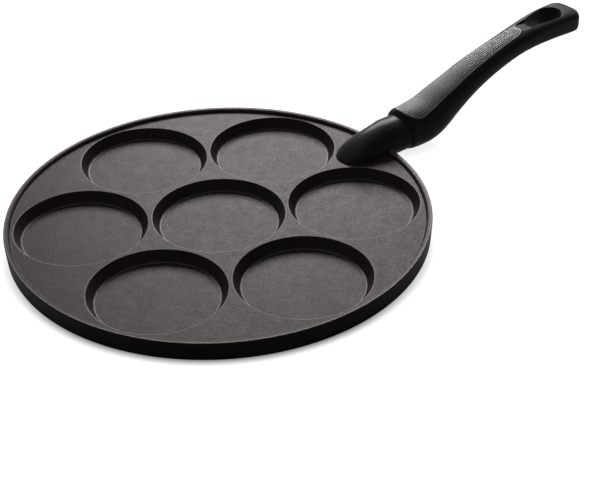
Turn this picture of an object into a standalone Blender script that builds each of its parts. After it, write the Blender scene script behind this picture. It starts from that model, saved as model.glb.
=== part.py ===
"""Plett pan: a cast plate with seven shallow wells and one moulded handle.

Units are metres, +Z is up, +X runs out along the handle. The origin is the
centre of the plate's base, on the surface that the pan stands on.
"""
import math

import bmesh
import bpy
import numpy as np
from mathutils import Matrix, Vector

# Wells, one in the middle and a ring around it
RING_WELLS = 6
WELL_RADIUS = 0.0419
WELL_LIP = 0.0007
WELL_DEPTH = 0.0066
WELL_TAPER = 0.0036
WELL_FILLET = 0.0012
WEB = 0.0020
FLOOR = 0.0034

# Rim around the plate
RIM_LAND = 0.0013
RIM_WIDTH = 0.0042
RIM_LIP = 0.0022
RIM_INNER_SLOPE = 0.0013
RIM_EDGE = 0.0004
SKIRT_DRAFT = 0.0006

# Hollow underside
WALL = 0.0032
POCKET_DRAFT = 0.0010
POCKET_CORNER = 0.0015

# Lug cast on the plate, and the tang at its end
LUG_INSET = 0.0357
LUG_NOSE = 0.0148
LUG_REACH = 0.0167
LUG_WIDTH = 0.0268
LUG_RISE = 0.0164
LUG_CROWN = 0.0075
LUG_CLEARANCE = 0.0020
LUG_UNDERCUT_START = 0.0071
LUG_UNDERCUT_LENGTH = 0.0107
LUG_WALL = 0.0038
LUG_CORE_NOSE = 0.0091
LUG_CORE_SETBACK = 0.0025
TANG_LENGTH = 0.028
TANG_WIDTH = 0.016
TANG_HEIGHT = 0.009
TANG_TAPER = 0.0010

# Handle
HANDLE_LENGTH = 0.162
HANDLE_RISE = 0.0361
HANDLE_CLEARANCE = 0.0009
MOUTH_LEAN = math.radians(7)
LIP_LENGTH = 0.0036
MOUTH_WIDTH = 0.0294
BELLY_WIDTH = 0.0316
BELLY_HEIGHT = 0.0296
GRIP_WIDTH = 0.0268
GRIP_HEIGHT = 0.0214
NECK_WIDTH = 0.0230
NECK_HEIGHT = 0.0162
END_WIDTH = 0.0284
END_HEIGHT = 0.0160
END_CORNER = 0.0065
END_EDGE = 0.0015

# Hanging slot and the thumb ramp that leads into it
SLOT_LENGTH = 0.0309
SLOT_WIDTH = 0.0180
SLOT_NOSE_WIDTH = 0.0120
SLOT_END_WALL = 0.0118
RAMP_LENGTH = 0.0096
RAMP_WIDTH = 0.0114
RAMP_DEPTH = 0.0028

# Inlay on top of the handle
PANEL_THICKNESS = 0.0016
PANEL_FRONT_WIDTH = 0.0240
PANEL_BACK_WIDTH = 0.0126
PANEL_SETBACK = 0.0022
PANEL_NOSE = 0.0120
PANEL_TAIL = 0.0075
PANEL_OVERRUN = 0.0015

# Screw under the handle
SCREW_RADIUS = 0.0025
SCREW_HEAD_RADIUS = 0.0043
SCREW_HEAD_HEIGHT = 0.0026
SCREW_HEAD_EDGE = 0.0012
SCREW_HEAD_FACE = 0.0031
SCREW_CHAMFER = 0.0005
DRIVE_RADIUS = 0.0017
DRIVE_DEPTH = 0.0015
SCREW_SETBACK = 0.016
SCREW_BITE = 0.0080
SEAT_WALL = 0.0026
WASHER_THICKNESS = 0.0010
WASHER_SLIT = 0.0009

GAP = 0.0003

# Fineness of the facets
WELL_STEPS = 48
PLATE_STEPS = 96
HANDLE_STEPS = 40
HANDLE_RINGS = 22
TANG_STEPS = 32
SCREW_STEPS = 24

# Places that follow from the sizes
LIP_RADIUS = WELL_RADIUS + WELL_LIP
RING_RADIUS = 2 * LIP_RADIUS + WEB
DECK_HEIGHT = FLOOR + WELL_DEPTH
RIM_TOP = DECK_HEIGHT + RIM_LIP
RIM_FOOT = RING_RADIUS + LIP_RADIUS + RIM_LAND
PLATE_RADIUS = RIM_FOOT + RIM_WIDTH
NOSE_X = PLATE_RADIUS - LUG_INSET
SEAM_X = PLATE_RADIUS + LUG_REACH
LUG_TOP = DECK_HEIGHT + LUG_RISE
SEAM_Z = (LUG_TOP + LUG_CLEARANCE) / 2
END_X = SEAM_X + HANDLE_LENGTH
BELLY_Z = HANDLE_CLEARANCE + BELLY_HEIGHT / 2
HANDLE_TOP = BELLY_Z + HANDLE_RISE + END_HEIGHT
SLOT_NEAR_X = END_X - SLOT_END_WALL - SLOT_LENGTH
RAMP_X = SLOT_NEAR_X - RAMP_LENGTH
SCREW_X = SEAM_X + SCREW_SETBACK
TANG_BASE = SEAM_Z - TANG_HEIGHT / 2
SCREW_SEAT = TANG_BASE - GAP - SEAT_WALL

# Curve at the foot of the rim: shares of its inner slope and of its lip
RIM_FOOT_CURVE = ((0.0, 0.0), (0.35, 0.15), (0.8, 0.82), (1.0, 1.0))

# Places of the lug's sections, as shares of its inset on the deck
LUG_PLACES = (0.002, 0.02, 0.06, 0.12, 0.2, 0.3, 0.42, 0.56, 0.7, 0.84)
LUG_FULLNESS = 0.85
LUG_SQUARENESS = 2.2
TANG_SQUARENESS = 6.0

# Sweep of the handle's centre line: share of its length, share of its rise
SWEEP = ((0.0, 0.0), (0.06, 0.0), (0.136, 0.042), (0.247, 0.277), (0.389, 0.564),
         (0.543, 0.782), (0.679, 0.922), (0.821, 0.995), (1.0, 1.0))

# Sections along the handle: share of its length, width, height, squareness
SECTIONS = ((0.0, MOUTH_WIDTH, BELLY_HEIGHT, 2.2),
            (0.11, BELLY_WIDTH, BELLY_HEIGHT, 2.3),
            (0.33, GRIP_WIDTH, GRIP_HEIGHT, 2.3),
            (0.62, NECK_WIDTH, NECK_HEIGHT, 2.6),
            (0.95, END_WIDTH, END_HEIGHT, 4.0),
            (1.0, END_WIDTH, END_HEIGHT, 4.0))

# Sections lie closer together towards the mouth, where the bend is
RING_CROWDING = 1.2

# How full the inlay's front corners are, and how soon its sides draw in
PANEL_FULLNESS = 0.7


def clear_scene():
    """Remove whatever the file was opened with."""
    for old in list(bpy.data.objects):
        bpy.data.objects.remove(old, do_unlink=True)


def new_collection(name):
    """Add a collection to the scene."""
    group = bpy.data.collections.new(name)
    bpy.context.scene.collection.children.link(group)
    return group


def material(name, colour, roughness, metallic=0.0):
    """One plain finish."""
    finish = bpy.data.materials.new(name)
    finish.use_nodes = True
    shader = finish.node_tree.nodes["Principled BSDF"]
    shader.inputs["Base Color"].default_value = (*colour, 1.0)
    shader.inputs["Roughness"].default_value = roughness
    shader.inputs["Metallic"].default_value = metallic
    return finish


def add_object(name, mesh, group, finish=None):
    """Put a mesh in a collection as a named object."""
    obj = bpy.data.objects.new(name, mesh)
    group.objects.link(obj)
    if finish:
        mesh.materials.append(finish)
    return obj


def smooth(obj, degrees=35):
    """Shade a piece smooth, with its real edges left sharp."""
    obj.data.shade_smooth()
    obj.data.set_sharp_from_angle(angle=math.radians(degrees))


def as_cutter(obj):
    """Show a cutter as wires and keep it out of the render."""
    obj.display_type = "WIRE"
    obj.hide_render = True
    return obj


def boolean(target, other, operation):
    """Join or cut a piece with another object."""
    step = target.modifiers.new(f"{operation.lower()} {other.name}", "BOOLEAN")
    step.operation = operation
    step.object = other
    step.solver = "EXACT"


def mesh_from(name, bm):
    """Turn a bmesh into a mesh with its faces pointing out."""
    bmesh.ops.recalc_face_normals(bm, faces=bm.faces)
    mesh = bpy.data.meshes.new(name)
    bm.to_mesh(mesh)
    bm.free()
    return mesh


def loft(name, rings):
    """Skin a row of closed rings of equal count, and close both ends."""
    bm = bmesh.new()
    rows = [[bm.verts.new(point) for point in ring] for ring in rings]
    count = len(rows[0])
    for near, far in zip(rows, rows[1:]):
        for i in range(count):
            j = (i + 1) % count
            bm.faces.new((near[i], near[j], far[j], far[i]))
    bm.faces.new(rows[0])
    bm.faces.new(rows[-1])
    return mesh_from(name, bm)


def prism(name, outline, low, high):
    """Extrude a flat outline of (x, y) points from one height to another."""
    return loft(name, [[Vector((x, y, z)) for x, y in outline] for z in (low, high)])


def turned(name, profile, steps, group, finish=None):
    """Turn a profile of (radius, height) points about Z with a Screw modifier."""
    mesh = bpy.data.meshes.new(name)
    edges = [(i, i + 1) for i in range(len(profile) - 1)]
    mesh.from_pydata([(r, 0.0, z) for r, z in profile], edges, [])
    obj = add_object(name, mesh, group, finish)
    turn = obj.modifiers.new("turn", "SCREW")
    turn.steps = turn.render_steps = steps
    turn.use_merge_vertices = True
    turn.merge_threshold = 0.00001
    return obj


def arc(centre, radius, start, end, count):
    """Points on an arc, both ends included; angles in degrees."""
    angles = [math.radians(start + (end - start) * i / count) for i in range(count + 1)]
    return [(centre[0] + radius * math.cos(a), centre[1] + radius * math.sin(a))
            for a in angles]


def smooth_through(stations, column, place):
    """Read one column of a station table at a place, on a smooth curve."""
    at = np.array([row[0] for row in stations])
    value = np.array([row[column] for row in stations])
    slope = np.gradient(value, at)
    slope[0] = slope[-1] = 0.0
    k = int(np.clip(np.searchsorted(at, place) - 1, 0, len(at) - 2))
    span = at[k + 1] - at[k]
    t = (place - at[k]) / span
    start = value[k] * (1 + 2 * t) * (1 - t) ** 2 + slope[k] * span * t * (1 - t) ** 2
    end = value[k + 1] * t * t * (3 - 2 * t) + slope[k + 1] * span * t * t * (t - 1)
    return float(start + end)


def oval(x, z, half_width, above, below, power, lean, steps=HANDLE_STEPS):
    """A ring across the handle line: a rounded oval, leaned back about Y."""
    ring = []
    for i in range(steps):
        angle = 2 * math.pi * i / steps
        across = math.copysign(abs(math.cos(angle)) ** (2 / power), math.cos(angle))
        up = math.copysign(abs(math.sin(angle)) ** (2 / power), math.sin(angle))
        height = up * (above if up > 0 else below)
        ring.append(Vector((x - height * math.sin(lean), half_width * across,
                            z + height * math.cos(lean))))
    return ring


def well_centres():
    """Centres of the middle well and of the ring, clear of the handle line."""
    centres = [(0.0, 0.0)]
    for i in range(RING_WELLS):
        angle = 2 * math.pi * (i + 0.5) / RING_WELLS
        centres.append((RING_RADIUS * math.cos(angle), RING_RADIUS * math.sin(angle)))
    return centres


def plate_profile():
    """Half section of the plate without its wells: deck, rim, skirt, base."""
    foot = [(RIM_FOOT + RIM_INNER_SLOPE * along, DECK_HEIGHT + RIM_LIP * up)
            for along, up in RIM_FOOT_CURVE]
    edge = [(PLATE_RADIUS - RIM_EDGE * (1 - math.sin(a)), RIM_TOP - RIM_EDGE * (1 - math.cos(a)))
            for a in (math.radians(d) for d in (0, 30, 60, 90))]
    return [(0.0, DECK_HEIGHT)] + foot + edge + [
        (PLATE_RADIUS - SKIRT_DRAFT, 0.0), (0.0, 0.0)]


def well_profile():
    """Half section of the space in a well, from above its mouth to its floor."""
    lip = [(LIP_RADIUS - WELL_LIP * math.sin(a), DECK_HEIGHT - WELL_LIP * (1 - math.cos(a)))
           for a in (math.radians(d) for d in (0, 45, 90))]
    corner = WELL_RADIUS - WELL_TAPER - WELL_FILLET / 2
    fillet = [(corner + WELL_FILLET * math.cos(a), FLOOR + WELL_FILLET * (1 - math.sin(a)))
              for a in (math.radians(d) for d in (15, 50, 90))]
    return [(0.0, RIM_TOP), (LIP_RADIUS, RIM_TOP)] + lip + fillet + [(0.0, FLOOR)]


def corner_centre(first, second):
    """Centre of the small circle that rounds the corner between two bounds.

    A bound is a centre, a radius and a sign: +1 keeps the pocket outside the
    circle, as a well's wall does, and -1 keeps it inside, as the skirt does.
    """
    (ax, ay), ar, a_sign, *_ = first
    (bx, by), br, b_sign, *_ = second
    ra = ar + a_sign * POCKET_CORNER
    rb = br + b_sign * POCKET_CORNER
    gap = math.hypot(bx - ax, by - ay)
    along = (ra * ra - rb * rb + gap * gap) / (2 * gap)
    off = math.sqrt(ra * ra - along * along)
    ux, uy = (bx - ax) / gap, (by - ay) / gap
    return [(ax + along * ux + side * off * uy, ay + along * uy - side * off * ux)
            for side in (1, -1)]


def pocket_outline(bounds, middle):
    """Outline of a pocket between circles, with its corners rounded."""
    corners = []
    for i, bound in enumerate(bounds):
        both = corner_centre(bounds[i - 1], bound)
        corners.append(min(both, key=lambda c: math.dist(c, middle)))
    points = []
    for i, (centre, radius, sign) in enumerate(bounds):
        ends = []
        for corner in (corners[i], corners[(i + 1) % len(bounds)]):
            ends.append(math.atan2(corner[1] - centre[1], corner[0] - centre[0]))
        turn = (ends[1] - ends[0] + math.pi) % (2 * math.pi) - math.pi
        count = 8 if sign < 0 else 6
        for step in range(count + 1):
            angle = ends[0] + turn * step / count
            points.append((centre[0] + radius * math.cos(angle),
                           centre[1] + radius * math.sin(angle)))
        corner = corners[(i + 1) % len(bounds)]
        tip = Vector((middle[0] - corner[0], middle[1] - corner[1])).normalized()
        points.append((corner[0] - tip.x * POCKET_CORNER, corner[1] - tip.y * POCKET_CORNER))
    return points


def pocket(name, bounds, middle, group):
    """A drafted cutter for one hollow of the underside."""
    rings = []
    roof = DECK_HEIGHT - WALL
    for z, ease in ((-GAP, POCKET_DRAFT), (roof, 0.0)):
        eased = [(centre, radius - sign * ease, sign) for centre, radius, sign in bounds]
        rings.append([Vector((x, y, z)) for x, y in pocket_outline(eased, middle)])
    return as_cutter(add_object(name, loft(name, rings), group))


def make_pockets(group):
    """Cutters for the hollows between the wells, and between wells and skirt."""
    centres = well_centres()
    ring = centres[1:]
    boss = WELL_RADIUS + WALL
    skirt = ((0.0, 0.0), PLATE_RADIUS - SKIRT_DRAFT - WALL, -1)
    cutters = []
    for i, centre in enumerate(ring):
        after = ring[(i + 1) % RING_WELLS]
        pair = [(centre, boss, 1), (after, boss, 1)]
        inner = ((centre[0] + after[0]) / 3, (centre[1] + after[1]) / 3)
        cutters.append(pocket(f"inner_pocket_{i}", [(centres[0], boss, 1)] + pair, inner, group))
        angle = math.atan2(centre[1] + after[1], centre[0] + after[0])
        reach = PLATE_RADIUS - SKIRT_DRAFT - WALL - LUG_INSET / 2
        outer = (reach * math.cos(angle), reach * math.sin(angle))
        cutters.append(pocket(f"outer_pocket_{i}", [skirt] + pair[::-1], outer, group))
    return cutters


def lug_half_width(x):
    """The lug's half width: a blunt rounded nose, then even width to the seam."""
    share = min(max((x - NOSE_X) / LUG_NOSE, 0.0), 1.0)
    return LUG_WIDTH / 2 * math.sqrt(1 - (1 - share) ** 2)


def lug_top(x):
    """Height of the lug's ridge, which climbs from the deck to the seam."""
    share = min((x - NOSE_X) / (SEAM_X - NOSE_X - LUG_CROWN), 1.0)
    return DECK_HEIGHT + LUG_RISE * (1 - (1 - share) ** 2) ** LUG_FULLNESS


def lug_ring(x, inset=0.0, floor=None):
    """One section of the lug, or of the core inside it when inset."""
    passed = (x - PLATE_RADIUS + LUG_UNDERCUT_START) / LUG_UNDERCUT_LENGTH
    middle = DECK_HEIGHT + (SEAM_Z - DECK_HEIGHT) * min(max(passed, 0.0), 1.0) ** 2
    if floor is None:
        floor = LUG_CLEARANCE if x > PLATE_RADIUS - RIM_WIDTH else DECK_HEIGHT - WALL / 2
    lean = MOUTH_LEAN * max(0.0, (x - PLATE_RADIUS) / LUG_REACH)
    above = max(lug_top(x) - middle - inset, GAP)
    half_width = max(lug_half_width(x) - inset, GAP)
    return oval(x, middle, half_width, above, middle - floor, LUG_SQUARENESS, lean)


def make_lug(group):
    """The solid lug, from its nose on the deck to the seam."""
    on_deck = [NOSE_X + LUG_INSET * share for share in LUG_PLACES]
    start = PLATE_RADIUS - RIM_WIDTH / 2
    past_rim = [start + (SEAM_X - start) * i / 4 for i in range(5)]
    rings = [lug_ring(x) for x in on_deck + past_rim]
    return as_cutter(add_object("lug", loft("lug", rings), group))


def make_lug_core(group):
    """The space cored out of the lug from below, over the plate's pocket."""
    start = NOSE_X + LUG_CORE_NOSE
    end = PLATE_RADIUS - SKIRT_DRAFT - WALL - LUG_CORE_SETBACK
    rings = [lug_ring(start + (end - start) * i / 5, LUG_WALL, -GAP) for i in range(6)]
    return as_cutter(add_object("lug_core", loft("lug_core", rings), group))


def tang_rings(clearance, start, length):
    """Two rounded-square rings of the tang, or of its socket when given clearance."""
    rings = []
    for x, taper in ((start, 0.0), (SEAM_X + length, TANG_TAPER)):
        rings.append(oval(x, SEAM_Z, TANG_WIDTH / 2 - taper + clearance,
                          TANG_HEIGHT / 2 - taper + clearance,
                          TANG_HEIGHT / 2 + clearance, TANG_SQUARENESS, 0.0, TANG_STEPS))
    return rings


def cylinder(name, radius, low, high, x, group, steps=SCREW_STEPS):
    """An upright cutter on the handle line, round or with a few flat sides."""
    bm = bmesh.new()
    bmesh.ops.create_cone(bm, cap_ends=True, segments=steps, radius1=radius, radius2=radius,
                          depth=high - low, matrix=Matrix.Translation((x, 0, (low + high) / 2)))
    return as_cutter(add_object(name, mesh_from(name, bm), group))


def make_pan_body(group, cutters, finish):
    """The one casting: plate, rim, wells, hollow underside, lug and tang."""
    body = turned("pan_body", plate_profile(), PLATE_STEPS, group, finish)
    boolean(body, make_lug(cutters), "UNION")
    tang = add_object("tang", loft("tang", tang_rings(0.0, SEAM_X - LUG_REACH / 2, TANG_LENGTH)),
                      cutters)
    boolean(body, as_cutter(tang), "UNION")
    well = as_cutter(turned("well_0", well_profile(), WELL_STEPS, cutters))
    for i, (x, y) in enumerate(well_centres()):
        if i:
            well = well.copy()
            well.name = f"well_{i}"
            cutters.objects.link(well)
        well.location = (x, y, 0.0)
        boolean(body, well, "DIFFERENCE")
    for cutter in make_pockets(cutters):
        boolean(body, cutter, "DIFFERENCE")
    boolean(body, make_lug_core(cutters), "DIFFERENCE")
    hole_top = TANG_BASE + SCREW_BITE + GAP
    thread = cylinder("thread_hole", SCREW_RADIUS + GAP, TANG_BASE - GAP, hole_top, SCREW_X, cutters)
    boolean(body, thread, "DIFFERENCE")
    smooth(body)
    return body


def handle_centre(x):
    """Height of the handle's centre line."""
    share = (x - SEAM_X) / HANDLE_LENGTH
    return BELLY_Z + HANDLE_RISE * smooth_through(SWEEP, 1, share)


def handle_lean(x):
    """Lean of a section: square to the centre line, but set by the seam at the mouth."""
    slope = (handle_centre(x + END_EDGE) - handle_centre(x - END_EDGE)) / (2 * END_EDGE)
    mouth = max(0.0, 1 - (x - SEAM_X) / (BELLY_HEIGHT / 2))
    return math.atan(slope) * (1 - mouth) + MOUTH_LEAN * mouth


def handle_size(x):
    """Half width, half height and squareness of the handle at a place."""
    share = (x - SEAM_X) / HANDLE_LENGTH
    width, height, power = (smooth_through(SECTIONS, column, share) for column in (1, 2, 3))
    return width / 2, height / 2, power


def mouth_ring(angle, inset, depth):
    """A section of the rounded lip, from the lug's outline out to the full handle."""
    x = SEAM_X + GAP + LIP_LENGTH * (1 - math.cos(angle))
    grown = math.sin(angle)
    half_width, half_height, power = handle_size(x)
    middle = handle_centre(x)
    low = LUG_CLEARANCE + (middle - half_height - LUG_CLEARANCE) * grown
    high = LUG_TOP + (middle + half_height - LUG_TOP) * grown
    wide = LUG_WIDTH / 2 + (half_width - LUG_WIDTH / 2) * grown
    middle = (low + high) / 2
    size = (high - low) / 2 - inset
    return oval(x, middle, wide - inset, size, size + depth, power, handle_lean(x))


def handle_rings(inset=0.0, depth=0.0):
    """All sections of the handle, or of a body set in from it and reaching deeper."""
    rings = [mouth_ring(math.radians(d), inset, depth) for d in (8, 30, 55, 90)]
    start = SEAM_X + GAP + LIP_LENGTH
    round_start = END_X - END_CORNER
    for i in range(1, HANDLE_RINGS):
        x = start + (round_start - start) * (i / HANDLE_RINGS) ** RING_CROWDING
        half_width, half_height, power = handle_size(x)
        rings.append(oval(x, handle_centre(x), half_width - inset, half_height - inset,
                          half_height - inset + depth, power, handle_lean(x)))
    for degrees in (0, 25, 45, 62, 78):
        angle = math.radians(degrees)
        x = round_start + END_CORNER * math.sin(angle)
        half_width, half_height, power = handle_size(x)
        half_width -= END_CORNER * (1 - math.cos(angle)) + inset
        half_height -= END_EDGE * (1 - math.cos(angle)) + inset
        rings.append(oval(x, handle_centre(x), half_width, half_height, half_height + depth,
                          power, handle_lean(x)))
    return rings


def slot_outline():
    """Outline of the hanging slot: two unlike round ends joined by tangents."""
    far = SLOT_WIDTH / 2
    near = SLOT_NOSE_WIDTH / 2
    far_x = END_X - SLOT_END_WALL - far
    near_x = SLOT_NEAR_X + near
    tilt = math.degrees(math.acos((far - near) / (far_x - near_x)))
    return (arc((far_x, 0.0), far, tilt - 180, 180 - tilt, 14)
            + arc((near_x, 0.0), near, 180 - tilt, 180 + tilt, 10))


def make_slot(group):
    """Cutter for the hanging slot, straight down through the handle's end."""
    mesh = prism("slot", slot_outline(), BELLY_Z, HANDLE_TOP)
    return as_cutter(add_object("slot", mesh, group))


def make_ramp(group):
    """Cutter for the thumb ramp: a round-ended channel whose floor slopes into the slot."""
    radius = RAMP_WIDTH / 2
    length = RAMP_LENGTH + SLOT_NOSE_WIDTH / 2
    outline = arc((radius, 0.0), radius, 90, 270, 10) + [(length, -radius), (length, radius)]
    mesh = prism("ramp", outline, 0.0, END_HEIGHT)
    ramp = as_cutter(add_object("ramp", mesh, group))
    top = [handle_centre(x) + handle_size(x)[1] for x in (RAMP_X, RAMP_X + length)]
    slope = math.atan((top[0] - top[1] + RAMP_DEPTH) / length)
    ramp.rotation_euler = (0.0, slope, 0.0)
    ramp.location = (RAMP_X, 0.0, top[0])
    return ramp


def panel_outline(clearance=0.0):
    """Plan of the inlay: a blunt front, long tapering sides and a round tail."""
    top_shift = BELLY_HEIGHT / 2 * math.sin(MOUTH_LEAN)
    start = SEAM_X - top_shift + PANEL_SETBACK - clearance
    end = RAMP_X + PANEL_OVERRUN + clearance
    front = PANEL_FRONT_WIDTH / 2 + clearance
    back = PANEL_BACK_WIDTH / 2 + clearance
    nose = start + PANEL_NOSE
    tail = end - PANEL_TAIL
    side = []
    for degrees in (4, 20, 40, 60, 80):
        angle = math.radians(degrees)
        side.append((nose - PANEL_NOSE * math.cos(angle), front * math.sin(angle) ** PANEL_FULLNESS))
    side.append((nose, front))
    for i in range(1, 6):
        share = i / 6
        width = front + (back - front) * share ** PANEL_FULLNESS
        side.append((nose + (tail - nose) * share, width))
    for degrees in (0, 25, 50, 72, 86):
        angle = math.radians(degrees)
        side.append((tail + PANEL_TAIL * math.sin(angle), back * math.cos(angle)))
    return side + [(x, -y) for x, y in reversed(side)]


def make_handle(group, cutters, finish):
    """The moulded handle with its socket, slot, ramp, inlay bed and screw well."""
    handle = add_object("handle", loft("handle", handle_rings()), group, finish)
    socket = loft("socket", tang_rings(GAP, SEAM_X - GAP * 4, TANG_LENGTH + GAP))
    boolean(handle, as_cutter(add_object("socket", socket, cutters)), "DIFFERENCE")
    boolean(handle, make_slot(cutters), "DIFFERENCE")
    boolean(handle, make_ramp(cutters), "DIFFERENCE")
    bed_mesh = prism("inlay_bed", panel_outline(GAP), BELLY_Z, HANDLE_TOP)
    bed = add_object("inlay_bed", bed_mesh, cutters)
    core_mesh = loft("inlay_core", handle_rings(PANEL_THICKNESS + GAP, END_HEIGHT))
    core = add_object("inlay_core", core_mesh, cutters)
    boolean(bed, as_cutter(core), "DIFFERENCE")
    boolean(handle, as_cutter(bed), "DIFFERENCE")
    head_room = cylinder("head_well", SCREW_HEAD_RADIUS + GAP * 2, -GAP, SCREW_SEAT, SCREW_X, cutters)
    boolean(handle, head_room, "DIFFERENCE")
    shank = cylinder("shank_hole", SCREW_RADIUS + GAP, SCREW_SEAT - GAP, SEAM_Z, SCREW_X, cutters)
    boolean(handle, shank, "DIFFERENCE")
    smooth(handle)
    return handle


def make_grip_panel(group, cutters, finish):
    """The soft inlay, flush with the handle around it."""
    panel = add_object("grip_panel", prism("grip_panel", panel_outline(), BELLY_Z, HANDLE_TOP),
                       group, finish)
    skin = add_object("inlay_skin", loft("inlay_skin", handle_rings()), cutters)
    under_mesh = loft("inlay_under", handle_rings(PANEL_THICKNESS, END_HEIGHT))
    under = add_object("inlay_under", under_mesh, cutters)
    boolean(panel, as_cutter(skin), "INTERSECT")
    boolean(panel, as_cutter(under), "DIFFERENCE")
    smooth(panel)
    return panel


def make_screw(group, cutters, finish):
    """The screw that draws the handle on to the tang, driven from below by a hex socket."""
    head_top = SCREW_SEAT - GAP - WASHER_THICKNESS - GAP
    head_low = head_top - SCREW_HEAD_HEIGHT
    tip = TANG_BASE + SCREW_BITE
    profile = [(0.0, tip), (SCREW_RADIUS - SCREW_CHAMFER, tip), (SCREW_RADIUS, tip - SCREW_CHAMFER),
               (SCREW_RADIUS, head_top), (SCREW_HEAD_RADIUS, head_top),
               (SCREW_HEAD_RADIUS, head_low + SCREW_HEAD_EDGE), (SCREW_HEAD_FACE, head_low),
               (0.0, head_low)]
    screw = turned("handle_screw", profile, SCREW_STEPS, group, finish)
    screw.location = (SCREW_X, 0.0, 0.0)
    drive = cylinder("drive", DRIVE_RADIUS, head_low - GAP, head_low + DRIVE_DEPTH, SCREW_X, cutters, 6)
    boolean(screw, drive, "DIFFERENCE")
    smooth(screw)
    return screw


def make_washer(group, cutters, finish):
    """The split spring washer between the screw head and its seat."""
    high = SCREW_SEAT - GAP
    low = high - WASHER_THICKNESS
    inner = SCREW_RADIUS + GAP
    outer = SCREW_HEAD_RADIUS
    profile = [(inner, high), (outer, high), (outer, low), (inner, low), (inner, high)]
    washer = turned("spring_washer", profile, SCREW_STEPS, group, finish)
    washer.location = (SCREW_X, 0.0, 0.0)
    half = WASHER_SLIT / 2
    past = SCREW_X + outer + GAP
    outline = [(SCREW_X, -half), (past, -half), (past, half), (SCREW_X, half)]
    slit = add_object("washer_slit", prism("washer_slit", outline, low - GAP, high + GAP), cutters)
    boolean(washer, as_cutter(slit), "DIFFERENCE")
    smooth(washer)
    return washer


def main():
    """Build the pan."""
    clear_scene()
    parts = new_collection("plett_pan")
    cutters = new_collection("cutters")
    coating = material("nonstick_coating", (0.020, 0.018, 0.018), 0.42)
    moulding = material("handle_moulding", (0.012, 0.011, 0.011), 0.38)
    inlay = material("soft_inlay", (0.018, 0.017, 0.017), 0.50)
    plated = material("plated_steel", (0.56, 0.56, 0.58), 0.30, 1.0)
    make_pan_body(parts, cutters, coating)
    make_handle(parts, cutters, moulding)
    make_grip_panel(parts, cutters, inlay)
    make_screw(parts, cutters, plated)
    make_washer(parts, cutters, plated)


if __name__ == "__main__":
    main()
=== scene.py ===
"""Looks of the plett pan: fine forms, finishes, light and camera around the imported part.

Lengths are metres in the part's own frame: +Z is up, +X runs out along the handle and the
origin is the centre of the plate's base.
"""

import logging
import math
from collections.abc import Callable
from dataclasses import dataclass, field
from enum import Enum

import bmesh
import bpy
import numpy as np
from mathutils import Euler, Matrix, Vector
from mathutils.bvhtree import BVHTree

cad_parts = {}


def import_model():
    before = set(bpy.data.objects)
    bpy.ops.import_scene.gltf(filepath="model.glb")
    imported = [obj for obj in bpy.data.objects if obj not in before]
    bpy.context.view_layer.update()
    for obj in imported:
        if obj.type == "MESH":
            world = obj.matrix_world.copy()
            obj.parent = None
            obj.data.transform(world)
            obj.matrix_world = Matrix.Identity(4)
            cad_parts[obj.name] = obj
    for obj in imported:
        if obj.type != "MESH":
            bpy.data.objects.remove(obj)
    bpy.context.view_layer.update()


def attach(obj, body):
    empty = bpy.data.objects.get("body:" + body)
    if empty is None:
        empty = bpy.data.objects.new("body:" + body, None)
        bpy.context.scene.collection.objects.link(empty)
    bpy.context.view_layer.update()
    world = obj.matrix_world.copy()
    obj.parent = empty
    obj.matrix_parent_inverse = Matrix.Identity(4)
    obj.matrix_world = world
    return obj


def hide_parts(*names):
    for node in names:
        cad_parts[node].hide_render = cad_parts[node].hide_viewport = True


LOG = logging.getLogger("plett_pan")
MM = 0.001
UP = Vector((0.0, 0.0, 1.0))
# Room between pieces that fit into each other
GAP = 0.3 * MM
# Points that lie closer than this are made one
WELD = 0.002 * MM
# The values between which nearly all of a noise pattern lies
NOISE_SPAN = {"From Min": 0.3, "From Max": 0.7}
# How strongly large faces pull the shading their way, where 50 is neutral
NORMAL_WEIGHT = 80
# A height well over the pan, from which the handle's skin is looked for
CLEAR = 0.2

Point = tuple[float, float]
Outline = list[Point]


class Cut(Enum):
    """How one solid is joined with another."""

    UNION = "UNION"
    DIFFERENCE = "DIFFERENCE"


class Coat(Enum):
    """Finishes on the casting, by material index."""

    COOKING = 0
    OUTSIDE_AND_SHADED_RIM_WALL = 1
    LUG = 2


# Small tools


def linear(hex_colour: str) -> tuple[float, float, float, float]:
    """Turn an sRGB hex colour into linear RGBA.

    Args:
        hex_colour: Six hex digits, with or without a leading #.

    Returns:
        Linear red, green, blue and an alpha of 1.
    """
    digits = hex_colour.lstrip("#")
    values = []
    for i in (0, 2, 4):
        s = int(digits[i:i + 2], 16) / 255
        values.append(s / 12.92 if s <= 0.04045 else ((s + 0.055) / 1.055) ** 2.4)
    return (*values, 1.0)


def add_node(tree: bpy.types.NodeTree, kind: str, settings: dict | None = None,
             links: dict | None = None) -> bpy.types.Node:
    """Add a node with its settings and links.

    Args:
        tree: The node tree.
        kind: Type name of the node, without the ShaderNode prefix.
        settings: Values by name: a socket's name or index, or a property of the node.
        links: What feeds each input: an output socket, or a node for its first output.

    Returns:
        The new node.
    """
    node = tree.nodes.new("ShaderNode" + kind)
    for name, value in (settings or {}).items():
        if isinstance(name, str) and hasattr(node, name) and name not in node.inputs:
            setattr(node, name, value)
        else:
            node.inputs[name].default_value = value
    for name, source in (links or {}).items():
        is_node = isinstance(source, bpy.types.Node)
        tree.links.new(source.outputs[0] if is_node else source, node.inputs[name])
    return node


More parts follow.
